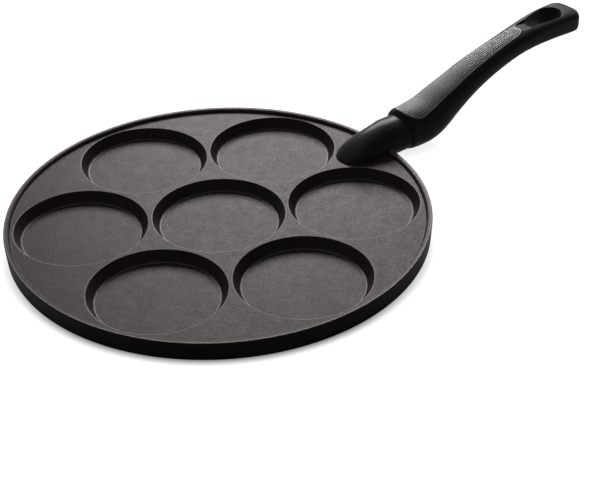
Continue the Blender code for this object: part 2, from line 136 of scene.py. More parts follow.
def spin_profile(bm: bmesh.types.BMesh, profile: Outline, steps: int,
                 centre: Point = (0.0, 0.0)) -> None:
    """Turn a profile of (radius, height) points once round an upright axis.

    Args:
        bm: The mesh to add to.
        profile: Points from the first ring to the last.
        steps: Number of facets round the axis.
        centre: Where the axis stands.
    """
    verts = [bm.verts.new((centre[0] + r, centre[1], z)) for r, z in profile]
    edges = [bm.edges.new(pair) for pair in zip(verts, verts[1:])]
    bmesh.ops.spin(bm, geom=verts + edges, cent=(*centre, 0.0), axis=UP, angle=2 * math.pi,
                   steps=steps, use_merge=True, use_duplicate=False)


def sheet(bm: bmesh.types.BMesh, columns: int, rows: int,
          place: Callable[[int, int], Vector]) -> None:
    """Add a grid and lay each of its points where a function says.

    Args:
        bm: The mesh to add to.
        columns: Faces along the first direction.
        rows: Faces along the second direction.
        place: Gives a point from its column and row numbers.
    """
    made = bmesh.ops.create_grid(bm, x_segments=columns, y_segments=rows, size=0.5)["verts"]
    for vert in made:
        vert.co = place(round((vert.co.x + 0.5) * columns), round((vert.co.y + 0.5) * rows))


def tube(rings: list[list[Vector]]) -> bmesh.types.BMesh:
    """Skin a row of closed rings of equal count and close both ends.

    Args:
        rings: The sections, in order.

    Returns:
        A closed mesh.
    """
    bm = bmesh.new()
    count = len(rings[0])
    sheet(bm, count, len(rings) - 1, lambda i, j: rings[j][i % count])
    bmesh.ops.remove_doubles(bm, verts=bm.verts, dist=WELD)
    bmesh.ops.holes_fill(bm, edges=[e for e in bm.edges if e.is_boundary], sides=0)
    return bm


def fill_level(bm: bmesh.types.BMesh, height: float) -> None:
    """Fill the open edges that lie at one height, leaving the holes between them open.

    Args:
        bm: The mesh.
        height: The level to fill.
    """
    edges = [e for e in bm.edges
             if e.is_boundary and all(abs(v.co.z - height) < WELD / 2 for v in e.verts)]
    bmesh.ops.triangle_fill(bm, edges=edges, use_beauty=True, use_dissolve=False, normal=UP)


def to_object(bm: bmesh.types.BMesh, name: str) -> bpy.types.Object:
    """Make an object of a mesh, with its faces pointing out.

    Args:
        bm: The mesh; it is freed.
        name: Name of the object.

    Returns:
        The object, linked to the scene.
    """
    bmesh.ops.recalc_face_normals(bm, faces=bm.faces)
    mesh = bpy.data.meshes.new(name)
    bm.to_mesh(mesh)
    bm.free()
    obj = bpy.data.objects.new(name, mesh)
    bpy.context.scene.collection.objects.link(obj)
    return obj


def apply_modifiers(obj: bpy.types.Object) -> None:
    """Write the result of an object's modifiers into its mesh.

    Args:
        obj: The piece.
    """
    graph = bpy.context.evaluated_depsgraph_get()
    mesh = bpy.data.meshes.new_from_object(obj.evaluated_get(graph))
    obj.modifiers.clear()
    old = obj.data
    obj.data = mesh
    bpy.data.meshes.remove(old)


def combine(target: bpy.types.Object, tool: bpy.types.Object, how: Cut) -> None:
    """Join or cut a solid with another, and remove the other.

    Args:
        target: The solid that stays.
        tool: The solid that is used up.
        how: Union or difference.
    """
    step = target.modifiers.new("combine", "BOOLEAN")
    step.operation = how.value
    step.object = tool
    step.solver = "EXACT"
    apply_modifiers(target)
    mesh = tool.data
    bpy.data.objects.remove(tool)
    bpy.data.meshes.remove(mesh)


def shade(obj: bpy.types.Object, sharp_degrees: float = 32.0) -> None:
    """Shade a piece smooth, with sharp edges kept and flat faces kept flat.

    Args:
        obj: The piece.
        sharp_degrees: Edges that bend more than this stay sharp.
    """
    obj.data.shade_smooth()
    obj.data.set_sharp_from_angle(angle=math.radians(sharp_degrees))
    step = obj.modifiers.new("weighted normals", "WEIGHTED_NORMAL")
    step.keep_sharp = True
    step.weight = NORMAL_WEIGHT
    apply_modifiers(obj)


def paint(obj: bpy.types.Object, name: str, values: list[float]) -> None:
    """Keep a value for each point of a piece, for its material to read.

    Args:
        obj: The piece.
        name: Name of the attribute.
        values: One value for each vertex.
    """
    obj.data.attributes.new(name, "FLOAT", "POINT").data.foreach_set("value", values)


def hand_over(obj: bpy.types.Object, node: str) -> None:
    """Put a piece on the root body and hide the CAD node that it stands for.

    Args:
        obj: The finished piece.
        node: The CAD node that it stands for.
    """
    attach(obj, "root")
    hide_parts(node)
    tris = sum(len(p.vertices) - 2 for p in obj.data.polygons)
    LOG.info("%s: %d triangles", obj.name, tris)


def through(stations: tuple[tuple[float, ...], ...], column: int, place: float) -> float:
    """Read one column of a table at a place, on a smooth curve.

    Args:
        stations: Rows of a place and its values.
        column: The value to read.
        place: Where to read it.

    Returns:
        The value there.
    """
    at = np.array([row[0] for row in stations])
    value = np.array([row[column] for row in stations])
    slope = np.gradient(value, at)
    slope[0] = slope[-1] = 0.0
    k = int(np.clip(np.searchsorted(at, place) - 1, 0, len(at) - 2))
    span = at[k + 1] - at[k]
    t = (place - at[k]) / span
    near = value[k] * (1 + 2 * t) * (1 - t) ** 2 + slope[k] * span * t * (1 - t) ** 2
    far = value[k + 1] * t * t * (3 - 2 * t) + slope[k + 1] * span * t * t * (t - 1)
    return float(near + far)


def oval(x: float, z: float, half_width: float, above: float, below: float, power: float,
         lean: float, steps: int) -> list[Vector]:
    """A ring across the handle line: a rounded oval, leaned back about Y.

    Args:
        x: Place along the handle.
        z: Height of its middle.
        half_width: Half its width.
        above: Its height over the middle.
        below: Its height under the middle.
        power: Squareness; 2 is an ellipse.
        lean: Angle that it leans back by, in radians.
        steps: Number of points.

    Returns:
        The points, from +Y upwards.
    """
    ring = []
    for i in range(steps):
        angle = 2 * math.pi * i / steps
        across = math.copysign(abs(math.cos(angle)) ** (2 / power), math.cos(angle))
        up = math.copysign(abs(math.sin(angle)) ** (2 / power), math.sin(angle))
        height = up * (above if up > 0 else below)
        ring.append(Vector((x - height * math.sin(lean), half_width * across,
                            z + height * math.cos(lean))))
    return ring


def arc(centre: Point, radius: float, start: float, end: float, count: int) -> Outline:
    """Lay points on an arc, both ends included.

    Args:
        centre: Centre of the arc.
        radius: Its radius.
        start: First angle in degrees.
        end: Last angle in degrees.
        count: Number of steps between them.

    Returns:
        The points, one more than the steps.
    """
    angles = [math.radians(start + (end - start) * i / count) for i in range(count + 1)]
    return [(centre[0] + radius * math.cos(a), centre[1] + radius * math.sin(a))
            for a in angles]


# Finishes


@dataclass(frozen=True)
class Finish:
    """What every finish shares: a named material with a Principled shader.

    Attributes:
        name: Name of the material.
        colour: Base colour as sRGB hex.
        second: Colour that the base drifts towards.
        roughness: Middle roughness.
        roughness_drift: How far fine and broad patterns move the roughness.
        specular: Specular IOR level, the same all over.
        grain: Size of the fine surface texture in metres.
        grain_depth: Depth of that texture in metres.
        metallic: Metallic, the same all over.
        sheen: Weight of the soft sheen that fine roughness gives at a low angle.
        drift: Size of the broad patches in metres.
    """

    name: str
    colour: str
    second: str
    roughness: float
    roughness_drift: float
    specular: float
    grain: float
    grain_depth: float
    metallic: float = 0.0
    sheen: float = 0.0
    drift: float = 28 * MM

    def start(self) -> tuple[bpy.types.Material, bpy.types.NodeTree, bpy.types.Node]:
        """Make the material with its constant sockets set.

        Returns:
            The material, its node tree and its Principled shader.
        """
        material = bpy.data.materials.new(self.name)
        material.use_nodes = True
        tree = material.node_tree
        shader = tree.nodes["Principled BSDF"]
        shader.inputs["Metallic"].default_value = self.metallic
        shader.inputs["Specular IOR Level"].default_value = self.specular
        shader.inputs["Sheen Weight"].default_value = self.sheen
        return material, tree, shader

    def patchy_colour(self, tree: bpy.types.NodeTree,
                      where: bpy.types.NodeSocket) -> tuple[bpy.types.Node, bpy.types.Node]:
        """Let the base colour drift in broad patches.

        Args:
            tree: The node tree.
            where: The place on the piece.

        Returns:
            The broad pattern, and the colour that follows it.
        """
        broad = add_node(tree, "TexNoise", {"Scale": 1 / self.drift, "Detail": 3.0},
                         {"Vector": where})
        patches = add_node(tree, "MapRange", NOISE_SPAN, {"Value": broad})
        colour = add_node(tree, "MixRGB", {"Color1": linear(self.colour),
                                           "Color2": linear(self.second)}, {"Fac": patches})
        return broad, colour

    def uneven_gloss(self, tree: bpy.types.NodeTree, fine: bpy.types.Node, reach: float,
                     broad: bpy.types.Node) -> bpy.types.Node:
        """Move the roughness by a fine and a broad pattern.

        Args:
            tree: The node tree.
            fine: The fine pattern.
            reach: How far it moves the roughness either way.
            broad: The broad pattern; it moves the roughness by half the drift.

        Returns:
            The node that gives the roughness.
        """
        half = self.roughness_drift / 2
        by_fine = add_node(tree, "MapRange", {**NOISE_SPAN, "To Min": -reach, "To Max": reach},
                           {"Value": fine})
        by_broad = add_node(tree, "MapRange", {**NOISE_SPAN, "To Min": self.roughness - half,
                                               "To Max": self.roughness + half}, {"Value": broad})
        return add_node(tree, "Math", {"operation": "ADD"}, {0: by_fine, 1: by_broad})


@dataclass(frozen=True)
class NonstickCoating(Finish):
    """Cast aluminium with a sprayed PTFE coating.

    The coat is baked on over a blasted casting, so it is even and low in gloss, with an
    orange peel that breaks up the light into a fine grain, and tiny paler mineral specks.
    Thin pale lines along lips, edges and floor corners are partly wear, partly painted highlight.

    Attributes:
        speck: Spacing of the specks, drawn as coarse as they need to show in the render.
        speck_colour: Their colour.
        speck_edge: Where a speck starts to fade and where it ends, as shares of the spacing.
        speck_pick: Which of the specks show, from none to fully.
        tint: Tint of the reflection, the same all over.
        mottle: Size of the mottling in the gloss, about a pixel of the render.
        mottling: How far it moves the roughness.
        peel_depth: Depth of the orange peel.
        scuff: Size of the patches that the pale lines come in.
        least_wear_and_highlight: Share of a pale line that every patch of an edge keeps.
        wear_and_highlight_colour: Colour of the pale lines, partly wear and partly painted highlight.
        edge_gloss: How much smoother it is there.
    """

    speck: float = 1.1 * MM
    speck_colour: str = "3e3a37"
    speck_edge: Point = (0.16, 0.34)
    speck_pick: Point = (0.3, 0.75)
    tint: str = "ffffff"
    mottle: float = 1.2 * MM
    mottling: float = 0.05
    peel_depth: float = 0.05 * MM
    scuff: float = 6 * MM
    least_wear_and_highlight: float = 0.45
    wear_and_highlight_colour: str = "6b6562"
    edge_gloss: float = 0.16

    def make(self) -> bpy.types.Material:
        """Build the material.

        Returns:
            The material.
        """
        material, tree, shader = self.start()
        shader.inputs["Specular Tint"].default_value = linear(self.tint)
        where = add_node(tree, "TexCoord").outputs["Object"]
        _, base = self.patchy_colour(tree, where)
        cells = add_node(tree, "TexVoronoi", {"Scale": 1 / self.speck}, {"Vector": where})
        near = add_node(tree, "MapRange", {"From Min": self.speck_edge[0],
                                           "From Max": self.speck_edge[1], "To Min": 1.0,
                                           "To Max": 0.0}, {"Value": cells})
        pick = add_node(tree, "SeparateColor", links={"Color": cells.outputs["Color"]})
        some = add_node(tree, "MapRange", {"From Min": self.speck_pick[0],
                                           "From Max": self.speck_pick[1]}, {"Value": pick})
        specks = add_node(tree, "Math", {"operation": "MULTIPLY"}, {0: near, 1: some})
        colour = add_node(tree, "MixRGB", {"Color2": linear(self.speck_colour)},
                          {"Fac": specks, "Color1": base})
        # Pale lines read from the casting: partly wear, partly painted highlight
        wear_and_highlight_mask = add_node(tree, "Attribute", {"attribute_name": "wear_and_painted_highlight"}).outputs["Fac"]
        scuffs = add_node(tree, "TexNoise", {"Scale": 1 / self.scuff, "Detail": 4.0},
                          {"Vector": where})
        uneven = add_node(tree, "MapRange", {**NOISE_SPAN, "To Min": self.least_wear_and_highlight},
                          {"Value": scuffs})
        worn = add_node(tree, "Math", {"operation": "MULTIPLY"}, {0: wear_and_highlight_mask, 1: uneven})
        wear_and_highlight_painted = add_node(tree, "MixRGB", {"Color2": linear(self.wear_and_highlight_colour)},
                         {"Fac": worn, "Color1": colour})
        tree.links.new(wear_and_highlight_painted.outputs[0], shader.inputs["Base Color"])
        blotches = add_node(tree, "TexNoise", {"Scale": 1 / self.mottle, "Detail": 2.0},
                            {"Vector": where})
        rough = self.uneven_gloss(tree, blotches, self.mottling, scuffs)
        rough = add_node(tree, "Math", {"operation": "MULTIPLY_ADD", 1: -self.edge_gloss},
                         {0: worn, 2: rough})
        tree.links.new(rough.outputs[0], shader.inputs["Roughness"])
        fine = add_node(tree, "TexNoise", {"Scale": 1 / self.grain, "Detail": 3.0},
                        {"Vector": where})
        peel = add_node(tree, "TexNoise", {"Scale": 1 / (3 * self.grain), "Detail": 1.0},
                        {"Vector": where})
        bumps = add_node(tree, "Bump", {"Distance": self.grain_depth}, {"Height": fine})
        waves = add_node(tree, "Bump", {"Distance": self.peel_depth},
                         {"Height": peel, "Normal": bumps})
        tree.links.new(waves.outputs[0], shader.inputs["Normal"])
        return material


@dataclass(frozen=True)
class MouldedFinish(Finish):
    """A moulded or plated surface with the fine texture of its mould or plating.

    The grain is too fine to see as bumps; it softens the highlight, and broad patches
    keep the surface from looking even. In an inlay's dimples the colour is painted near black as
    shade.

    Attributes:
        pit_shade_colour: Painted shade in the dimples: the colour there.
        pit_roughness: How much rougher it is there.
    """

    pit_shade_colour: str = "030303"
    pit_roughness: float = 0.3

    def make(self) -> bpy.types.Material:
        """Build the material.

        Returns:
            The material.
        """
        material, tree, shader = self.start()
        where = add_node(tree, "TexCoord").outputs["Object"]
        broad, base = self.patchy_colour(tree, where)
        fine = add_node(tree, "TexNoise", {"Scale": 1 / self.grain, "Detail": 3.0},
                        {"Vector": where})
        # Painted shade: the dimples darken towards their floors
        pit = add_node(tree, "Attribute", {"attribute_name": "pit"}).outputs["Fac"]
        pit_shaded = add_node(tree, "MixRGB", {"Color2": linear(self.pit_shade_colour)},
                          {"Fac": pit, "Color1": base})
        tree.links.new(pit_shaded.outputs[0], shader.inputs["Base Color"])
        rough = self.uneven_gloss(tree, fine, self.roughness_drift, broad)
        rough = add_node(tree, "Math", {"operation": "MULTIPLY_ADD", "use_clamp": True,
                                        1: self.pit_roughness}, {0: pit, 2: rough})
        tree.links.new(rough.outputs[0], shader.inputs["Roughness"])
        bumps = add_node(tree, "Bump", {"Distance": self.grain_depth}, {"Height": fine})
        tree.links.new(bumps.outputs[0], shader.inputs["Normal"])
        return material


@dataclass(frozen=True)
class StageFinish:
    """Pale paper for the floor, which reads as white and keeps the pan's soft shadow.

    Attributes:
        name: Name of the material.
        colour: Its colour as sRGB hex.
        glow: Light that it adds of itself for the camera.
        mirrored: Share of that light in reflections, where lit paper and glow make white.
        contact: How far from the pan its contact shadow reaches.
        contact_power: How fast that shadow deepens towards the pan.
        lamp_side: Direction of the main lamp; the contact shadow is deepest away from it.
        turn: How squarely a place faces away from the lamp at full and at least shadow.
        least_shade: Share of the contact shadow that stays on the lamp's side.
    """

    name: str = "pale studio paper"
    colour: str = "a8a8a8"
    glow: float = 0.95
    mirrored: float = 0.45
    contact: float = 6 * MM
    contact_power: float = 2.0
    lamp_side: tuple[float, float, float] = (0.6, 0.8, 0.0)
    turn: Point = (-0.8, -0.15)
    least_shade: float = 0.12

    def make(self) -> bpy.types.Material:
        """Build the material.

        Returns:
            The material.
        """
        material = bpy.data.materials.new(self.name)
        material.use_nodes = True
        tree = material.node_tree
        tree.nodes.remove(tree.nodes["Principled BSDF"])
        path = add_node(tree, "LightPath")
        bent = add_node(tree, "Math", {"operation": "MAXIMUM"},
                        {0: path.outputs["Is Glossy Ray"],
                         1: path.outputs["Is Transmission Ray"]})
        seen = add_node(tree, "Math", {"operation": "MULTIPLY_ADD", 1: self.mirrored},
                        {0: bent, 2: path.outputs["Is Camera Ray"]})
        where = add_node(tree, "TexCoord").outputs["Object"]
        away = add_node(tree, "VectorMath", {"operation": "NORMALIZE"}, {0: where})
        turned = add_node(tree, "VectorMath", {"operation": "DOT_PRODUCT", 1: self.lamp_side},
                          {0: away})
        share = add_node(tree, "MapRange", {"From Min": self.turn[0], "From Max": self.turn[1],
                                            "To Min": 1.0, "To Max": self.least_shade},
                         {"Value": turned.outputs["Value"]})
        closed = add_node(tree, "AmbientOcclusion", {"samples": 16, "Distance": self.contact})
        closed = add_node(tree, "Math", {"operation": "POWER", 1: self.contact_power},
                          {0: closed.outputs["AO"]})
        closed = add_node(tree, "Math", {"operation": "SUBTRACT", 1: 1.0}, {0: closed})
        shade = add_node(tree, "Math", {"operation": "MULTIPLY_ADD", 2: 1.0},
                         {0: closed, 1: share})
        level = add_node(tree, "Math", {"operation": "MULTIPLY", 1: self.glow}, {0: seen})
        level = add_node(tree, "Math", {"operation": "MULTIPLY"}, {0: level, 1: shade})
        paper = add_node(tree, "BsdfDiffuse", {"Color": linear(self.colour)})
        glow = add_node(tree, "Emission", links={"Strength": level})
        both = add_node(tree, "AddShader", links={0: paper, 1: glow})
        tree.links.new(both.outputs[0], tree.nodes["Material Output"].inputs["Surface"])
        return material


# The casting


@dataclass
class Casting:
    """The cast plate with its seven wells, rim, hollow underside, lug and tang.

    Attributes:
        ring_wells: Number of wells round the middle one.
        well_radius: Radius of a well under its lip.
        well_lip: Radius of the round on a well's lip.
        well_depth: Depth of a well under the deck.
        well_taper: How far a well's wall runs inwards.
        well_fillet: Radius of the round at a well's floor.
        wall_angle: Angle at which that round starts, in degrees.
        web: Least width of deck between two wells.
        floor: Thickness under a well.
        rim_land: Width of deck between a well's mouth and the rim.
        rim_width: Width of the rim.
        rim_lip: Height of the rim over the deck.
        rim_slope: How far the rim's inner wall leans out.
        rim_edge: Radius of the round on the rim's outer edge.
        rim_fillet: Size of the round at the rim's foot.
        fillet_share: Share of the wall's height that this round takes.
        wall_share: Where the wall's straight stretch ends, as a share of its height.
        crest_soft: Width of the soft edge over the wall.
        rim_dish: How far the rim's flat land lies under its edges.
        skirt_draft: How far the skirt runs inwards down to the base.
        skirt_ring: Height of the ring halfway down the skirt, as a share of the rim's.
        base_round: Radius of the round on the base's edge.
        well_line_width: Half width of the pale line on a well's lip and on its floor's corner.
        lip_line_place: Where on a lip that line lies, as a share of the lip's radius.
        rim_line_width: Half width of the pale lines on the rim; these lines are partly wear, partly
            painted highlight.
        level: Share of such a line that stays level.
        wall: Thickness of the casting over and beside a pocket.
        pocket_draft: How much wider a pocket is at its mouth, on every side.
        pocket_corner: Radius of a pocket's corners.
        pocket_round: Radius of the rounds at its mouth and roof.
        mouth_levels: Height and ease of the mouth's round, in shares of its radius.
        roof_levels: Depth under the roof and ease of the roof's round, in the same shares.
        pocket_steps: Steps along one side of a pocket.
        corner_steps: Steps round one of its corners.
        lug_inset: How far inside the plate's edge the lug starts.
        lug_nose: Length of its rounded nose.
        lug_reach: How far it reaches past the plate's edge.
        lug_width: Its full width.
        lug_rise: Its height over the deck at the seam.
        lug_crown: Length of the level stretch before the seam.
        lug_clearance: Height of its lowest point outside the plate.
        undercut_start: How far inside the edge its middle starts to sink.
        undercut_length: Length of that sinking stretch.
        lug_wall: Thickness of metal over its core.
        core_nose: How far behind the lug's nose the core starts.
        core_setback: How far inside the skirt's wall the core ends.
        foot_flare: How far the lug's foot runs out on the deck.
        flare_share: Share of a quarter round that this foot follows.
        tang_length: How far the tang reaches past the seam.
        tang_width: Its width.
        tang_height: Its height.
        tang_taper: How much thinner it is at its end.
        tang_squareness: Squareness of its section.
        mouth_lean: Lean of the seam, in radians.
        lug_fullness: Power that makes the lug's ridge fuller or flatter.
        lug_squareness: Squareness of its section.
        band: Width of the narrow bands of faces beside the rounds.
        least: Least half size of a section, at the lug's very nose.
        nose_start: Where the first section stands, as a share of the inset.
        plate_steps: Facets round the plate.
        well_steps: Facets round a well.
        lug_steps: Points round a section of the lug.
        lug_places: Sections of the lug over the deck.
        reach_places: Sections of the lug past the plate's edge.
        core_places: Sections of its core.
        tang_steps: Points round a section of the tang.
    """

    ring_wells: int = 6
    well_radius: float = 41.9 * MM
    well_lip: float = 0.7 * MM
    well_depth: float = 6.6 * MM
    well_taper: float = 3.6 * MM
    well_fillet: float = 1.6 * MM
    wall_angle: int = 28
    web: float = 2.0 * MM
    floor: float = 3.4 * MM
    rim_land: float = 1.3 * MM
    rim_width: float = 4.2 * MM
    rim_lip: float = 2.2 * MM
    rim_slope: float = 1.7 * MM
    rim_edge: float = 0.4 * MM
    rim_fillet: float = 0.45 * MM
    fillet_share: float = 0.25
    wall_share: float = 0.96
    crest_soft: float = 0.05 * MM
    rim_dish: float = 0.04 * MM
    skirt_draft: float = 0.6 * MM
    skirt_ring: float = 0.45
    base_round: float = 0.35 * MM
    well_line_width: float = 0.45 * MM
    lip_line_place: float = 0.3
    rim_line_width: float = 0.7 * MM
    level: float = 0.4
    wall: float = 3.2 * MM
    pocket_draft: float = 1.0 * MM
    pocket_corner: float = 1.5 * MM
    pocket_round: float = 0.5 * MM
    mouth_levels: tuple[Point, ...] = ((0.0, 1.0), (0.1, 0.45), (0.4, 0.12), (1.0, 0.0))
    roof_levels: tuple[Point, ...] = ((2.0, 0.0), (1.0, -0.3), (0.0, -1.4))
    pocket_steps: int = 20
    corner_steps: int = 6
    lug_inset: float = 35.7 * MM
    lug_nose: float = 15.2 * MM
    lug_reach: float = 16.7 * MM
    lug_width: float = 26.8 * MM
    lug_rise: float = 16.4 * MM
    lug_crown: float = 7.5 * MM
    lug_clearance: float = 2.0 * MM
    undercut_start: float = 7.1 * MM
    undercut_length: float = 10.7 * MM
    lug_wall: float = 3.8 * MM
    core_nose: float = 9.1 * MM
    core_setback: float = 2.5 * MM
    foot_flare: float = 0.5 * MM
    flare_share: float = 0.88
    tang_length: float = 28 * MM
    tang_width: float = 16 * MM
    tang_height: float = 9 * MM
    tang_taper: float = 1.0 * MM
    tang_squareness: float = 6.0
    mouth_lean: float = math.radians(7)
    lug_fullness: float = 0.85
    lug_squareness: float = 2.2
    band: float = 0.45 * MM
    least: float = 0.02 * MM
    nose_start: float = 0.001
    plate_steps: int = 256
    well_steps: int = 128
    lug_steps: int = 72
    lug_places: int = 46
    reach_places: int = 14
    core_places: int = 12
    tang_steps: int = 48

    @property
    def lip_radius(self) -> float:
        """Radius of a well's mouth on the deck."""
        return self.well_radius + self.well_lip

    @property
    def ring_radius(self) -> float:
        """Distance of the ring's wells from the middle."""
        return 2 * self.lip_radius + self.web

    @property
    def deck(self) -> float:
        """Height of the deck."""
        return self.floor + self.well_depth

    @property
    def rim_foot(self) -> float:
        """Radius at which the rim rises from the deck."""
        return self.ring_radius + self.lip_radius + self.rim_land

    @property
    def crest(self) -> float:
        """Radius of the rim's inner edge."""
        return self.rim_foot + self.rim_slope

    @property
    def rim_top(self) -> float:
        """Height of the rim."""
        return self.deck + self.rim_lip

    @property
    def radius(self) -> float:
        """Radius of the plate over its rim."""
        return self.rim_foot + self.rim_width

    @property
    def nose_x(self) -> float:
        """Where the lug starts on the deck."""
        return self.radius - self.lug_inset

    @property
    def seam_x(self) -> float:
        """Where the lug ends and the handle starts."""
        return self.radius + self.lug_reach

    @property
    def lug_top_z(self) -> float:
        """Height of the lug at the seam."""
        return self.deck + self.lug_rise

    @property
    def seam_z(self) -> float:
        """Middle height of the seam."""
        return (self.lug_top_z + self.lug_clearance) / 2

    @property
    def outer_rim_line(self) -> float:
        """Radius of the second light line, near the rim's outer edge."""
        return self.radius - 2 * self.rim_edge

    @property
    def well_corner(self) -> float:
        """Radius of a well's flat floor."""
        return self.well_radius - self.well_taper - self.well_fillet / 2

    def centres(self) -> list[Point]:
        """Find the centres of the middle well and of the ring.

        Returns:
            The middle well's centre first, then the ring's.
        """
        turned = [2 * math.pi * (i + 0.5) / self.ring_wells for i in range(self.ring_wells)]
        return [(0.0, 0.0)] + [(self.ring_radius * math.cos(a), self.ring_radius * math.sin(a))
                               for a in turned]

    def rim_profile(self) -> Outline:
        """Section from the deck over the rim and down the skirt to the base.

        Returns:
            The points as (radius, height).
        """
        start = Vector((self.rim_foot, self.deck))
        corner = Vector((self.rim_foot + self.rim_fillet, self.deck))
        crest = Vector((self.crest, self.rim_top))
        wall = corner.lerp(crest, self.fillet_share)
        points = [(self.rim_foot - self.band, self.deck)]
        steps = 6
        for i in range(steps + 1):
            t = i / steps
            points.append(tuple(start.lerp(corner, t).lerp(corner.lerp(wall, t), t)))
        points += [tuple(corner.lerp(crest, self.wall_share)),
                   (self.crest + self.crest_soft, self.rim_top)]
        outer = self.radius - self.rim_edge
        low = self.rim_top - self.rim_dish
        points += [(self.crest + self.rim_line_width * self.level, self.rim_top),
                   (self.crest + self.rim_line_width, low),
                   (self.outer_rim_line - self.rim_line_width, low),
                   (self.outer_rim_line - self.rim_line_width * self.level, self.rim_top),
                   (self.outer_rim_line, self.rim_top),
                   (outer - self.band * self.level, self.rim_top)]
        points += arc((outer, self.rim_top - self.rim_edge), self.rim_edge, 90, 0, 6)
        points.append((self.radius - self.skirt_draft / 2, self.rim_top * self.skirt_ring))
        foot = self.radius - self.skirt_draft
        points += arc((foot - self.base_round, self.base_round), self.base_round, 0, -90, 5)
        points.append((foot - self.base_round - self.band, 0.0))
        return points

    def wear_and_painted_highlight(self, point: Vector) -> float:
        """Say how pale the coat is painted on lips, floors and rim: partly wear, partly painted
        highlight.

        Args:
            point: A point of the casting's surface.

        Returns:
            A share from 0 to 1.
        """
        out = math.hypot(point.x, point.y)
        near = min(math.dist((point.x, point.y), c) for c in self.centres())
        lip = (near - self.lip_radius + self.well_lip * self.lip_line_place, point.z - self.deck)
        foot = (near - self.well_corner, point.z - self.floor)
        crest = (out - self.crest, point.z - self.rim_top)
        edge = (out - self.outer_rim_line, point.z - self.rim_top)
        shares = [1 - math.hypot(*place) / self.well_line_width for place in (lip, foot)]
        shares += [1 - math.hypot(*place) / self.rim_line_width for place in (crest, edge)]
        return max(0.0, *shares)

    def well_profile(self) -> Outline:
        """Section from the deck over a well's lip, down its wall and in to its middle.

        Returns:
            The points as (distance from the well's middle, height).
        """
        points = [(self.lip_radius + self.band, self.deck)]
        for degrees in range(0, 91, 15):
            a = math.radians(degrees)
            points.append((self.lip_radius - self.well_lip * math.sin(a),
                           self.deck - self.well_lip * (1 - math.cos(a))))
        corner = self.well_corner
        for degrees in range(self.wall_angle, 91, 10):
            a = math.radians(degrees)
            points.append((corner + self.well_fillet * math.cos(a),
                           self.floor + self.well_fillet * (1 - math.sin(a))))
        points += [(out, self.floor) for out in (corner, corner - self.band, corner / 2, 0.0)]
        return points

    def pocket_outline(self, bounds: list[tuple[Point, float, int]], middle: Point,
                       corner: float) -> Outline:
        """Outline of a pocket between circles, with its corners rounded.

        Args:
            bounds: Centre, radius and sign of each circle; +1 keeps the pocket outside.
            middle: A point inside the pocket.
            corner: Radius of the corners.

        Returns:
            The points of the outline.
        """
        corners = []
        for i, bound in enumerate(bounds):
            (ax, ay), ar, a_sign = bounds[i - 1]
            (bx, by), br, b_sign = bound
            ra, rb = ar + a_sign * corner, br + b_sign * corner
            gap = math.hypot(bx - ax, by - ay)
            along = (ra * ra - rb * rb + gap * gap) / (2 * gap)
            off = math.sqrt(ra * ra - along * along)
            ux, uy = (bx - ax) / gap, (by - ay) / gap
            both = [(ax + along * ux + s * off * uy, ay + along * uy - s * off * ux)
                    for s in (1, -1)]
            corners.append(min(both, key=lambda c: math.dist(c, middle)))
        points = []
        for i, (centre, radius, _) in enumerate(bounds):
            ends = [math.atan2(c[1] - centre[1], c[0] - centre[0])
                    for c in (corners[i], corners[(i + 1) % len(bounds)])]
            turn = (ends[1] - ends[0] + math.pi) % (2 * math.pi) - math.pi
            for step in range(self.pocket_steps + 1):
                a = ends[0] + turn * step / self.pocket_steps
                points.append((centre[0] + radius * math.cos(a), centre[1] + radius * math.sin(a)))
            here = corners[(i + 1) % len(bounds)]
            after = bounds[(i + 1) % len(bounds)]
            start = Vector(points[-1]) - Vector(here)
            to_next = Vector(here) - Vector(after[0])
            end = to_next.normalized() * (-corner * after[2])
            for step in range(1, self.corner_steps):
                mid = start.lerp(end, step / self.corner_steps).normalized() * corner
                points.append((here[0] + mid.x, here[1] + mid.y))
        return points

    def pockets(self) -> list[tuple[list[tuple[Point, float, int]], Point]]:
        """Find the hollows under the deck: a row round the middle and one along the skirt.

        Returns:
            For each hollow its bounding circles, as pocket_outline takes them, and its middle.
        """
        ring = self.centres()[1:]
        boss = self.well_radius + self.wall
        inside = self.radius - self.skirt_draft - self.wall
        found = []
        for i, centre in enumerate(ring):
            after = ring[(i + 1) % self.ring_wells]
            pair = [(centre, boss, 1), (after, boss, 1)]
            found.append(([((0.0, 0.0), boss, 1)] + pair,
                          ((centre[0] + after[0]) / 3, (centre[1] + after[1]) / 3)))
            angle = math.atan2(centre[1] + after[1], centre[0] + after[0])
            reach = inside - self.lug_inset / 2
            found.append(([((0.0, 0.0), inside, -1)] + pair[::-1],
                          (reach * math.cos(angle), reach * math.sin(angle))))
        return found

    def add_pocket(self, bm: bmesh.types.BMesh, bounds: list[tuple[Point, float, int]],
                   middle: Point) -> None:
        """Raise one hollow from the base up to its roof.

        Args:
            bm: The casting's mesh.
            bounds: The circles that bound it.
            middle: A point inside it.
        """
        roof = self.deck - self.wall
        soft = self.pocket_round
        levels = [(soft * high, self.pocket_draft + soft * ease) for high, ease in self.mouth_levels]
        levels += [(roof - soft * deep, soft * ease) for deep, ease in self.roof_levels]
        rings = []
        for z, ease in levels:
            eased = [(c, r - s * ease, s) for c, r, s in bounds]
            corner = self.pocket_corner + ease / 2
            rings.append([Vector((x, y, z)) for x, y in self.pocket_outline(eased, middle, corner)])
        count = len(rings[0])
        before = set(bm.verts)
        sheet(bm, count, len(rings) - 1, lambda i, j: rings[j][i % count])
        bmesh.ops.remove_doubles(bm, verts=[v for v in bm.verts if v not in before],
                                 dist=WELD)

    def plate(self) -> bpy.types.Object:
        """Make the plate with rim, wells and hollow underside, without the lug.

        Returns:
            The plate.
        """
        bm = bmesh.new()
        spin_profile(bm, self.rim_profile(), self.plate_steps)
        for centre in self.centres():
            spin_profile(bm, self.well_profile(), self.well_steps, centre)
        fill_level(bm, self.deck)
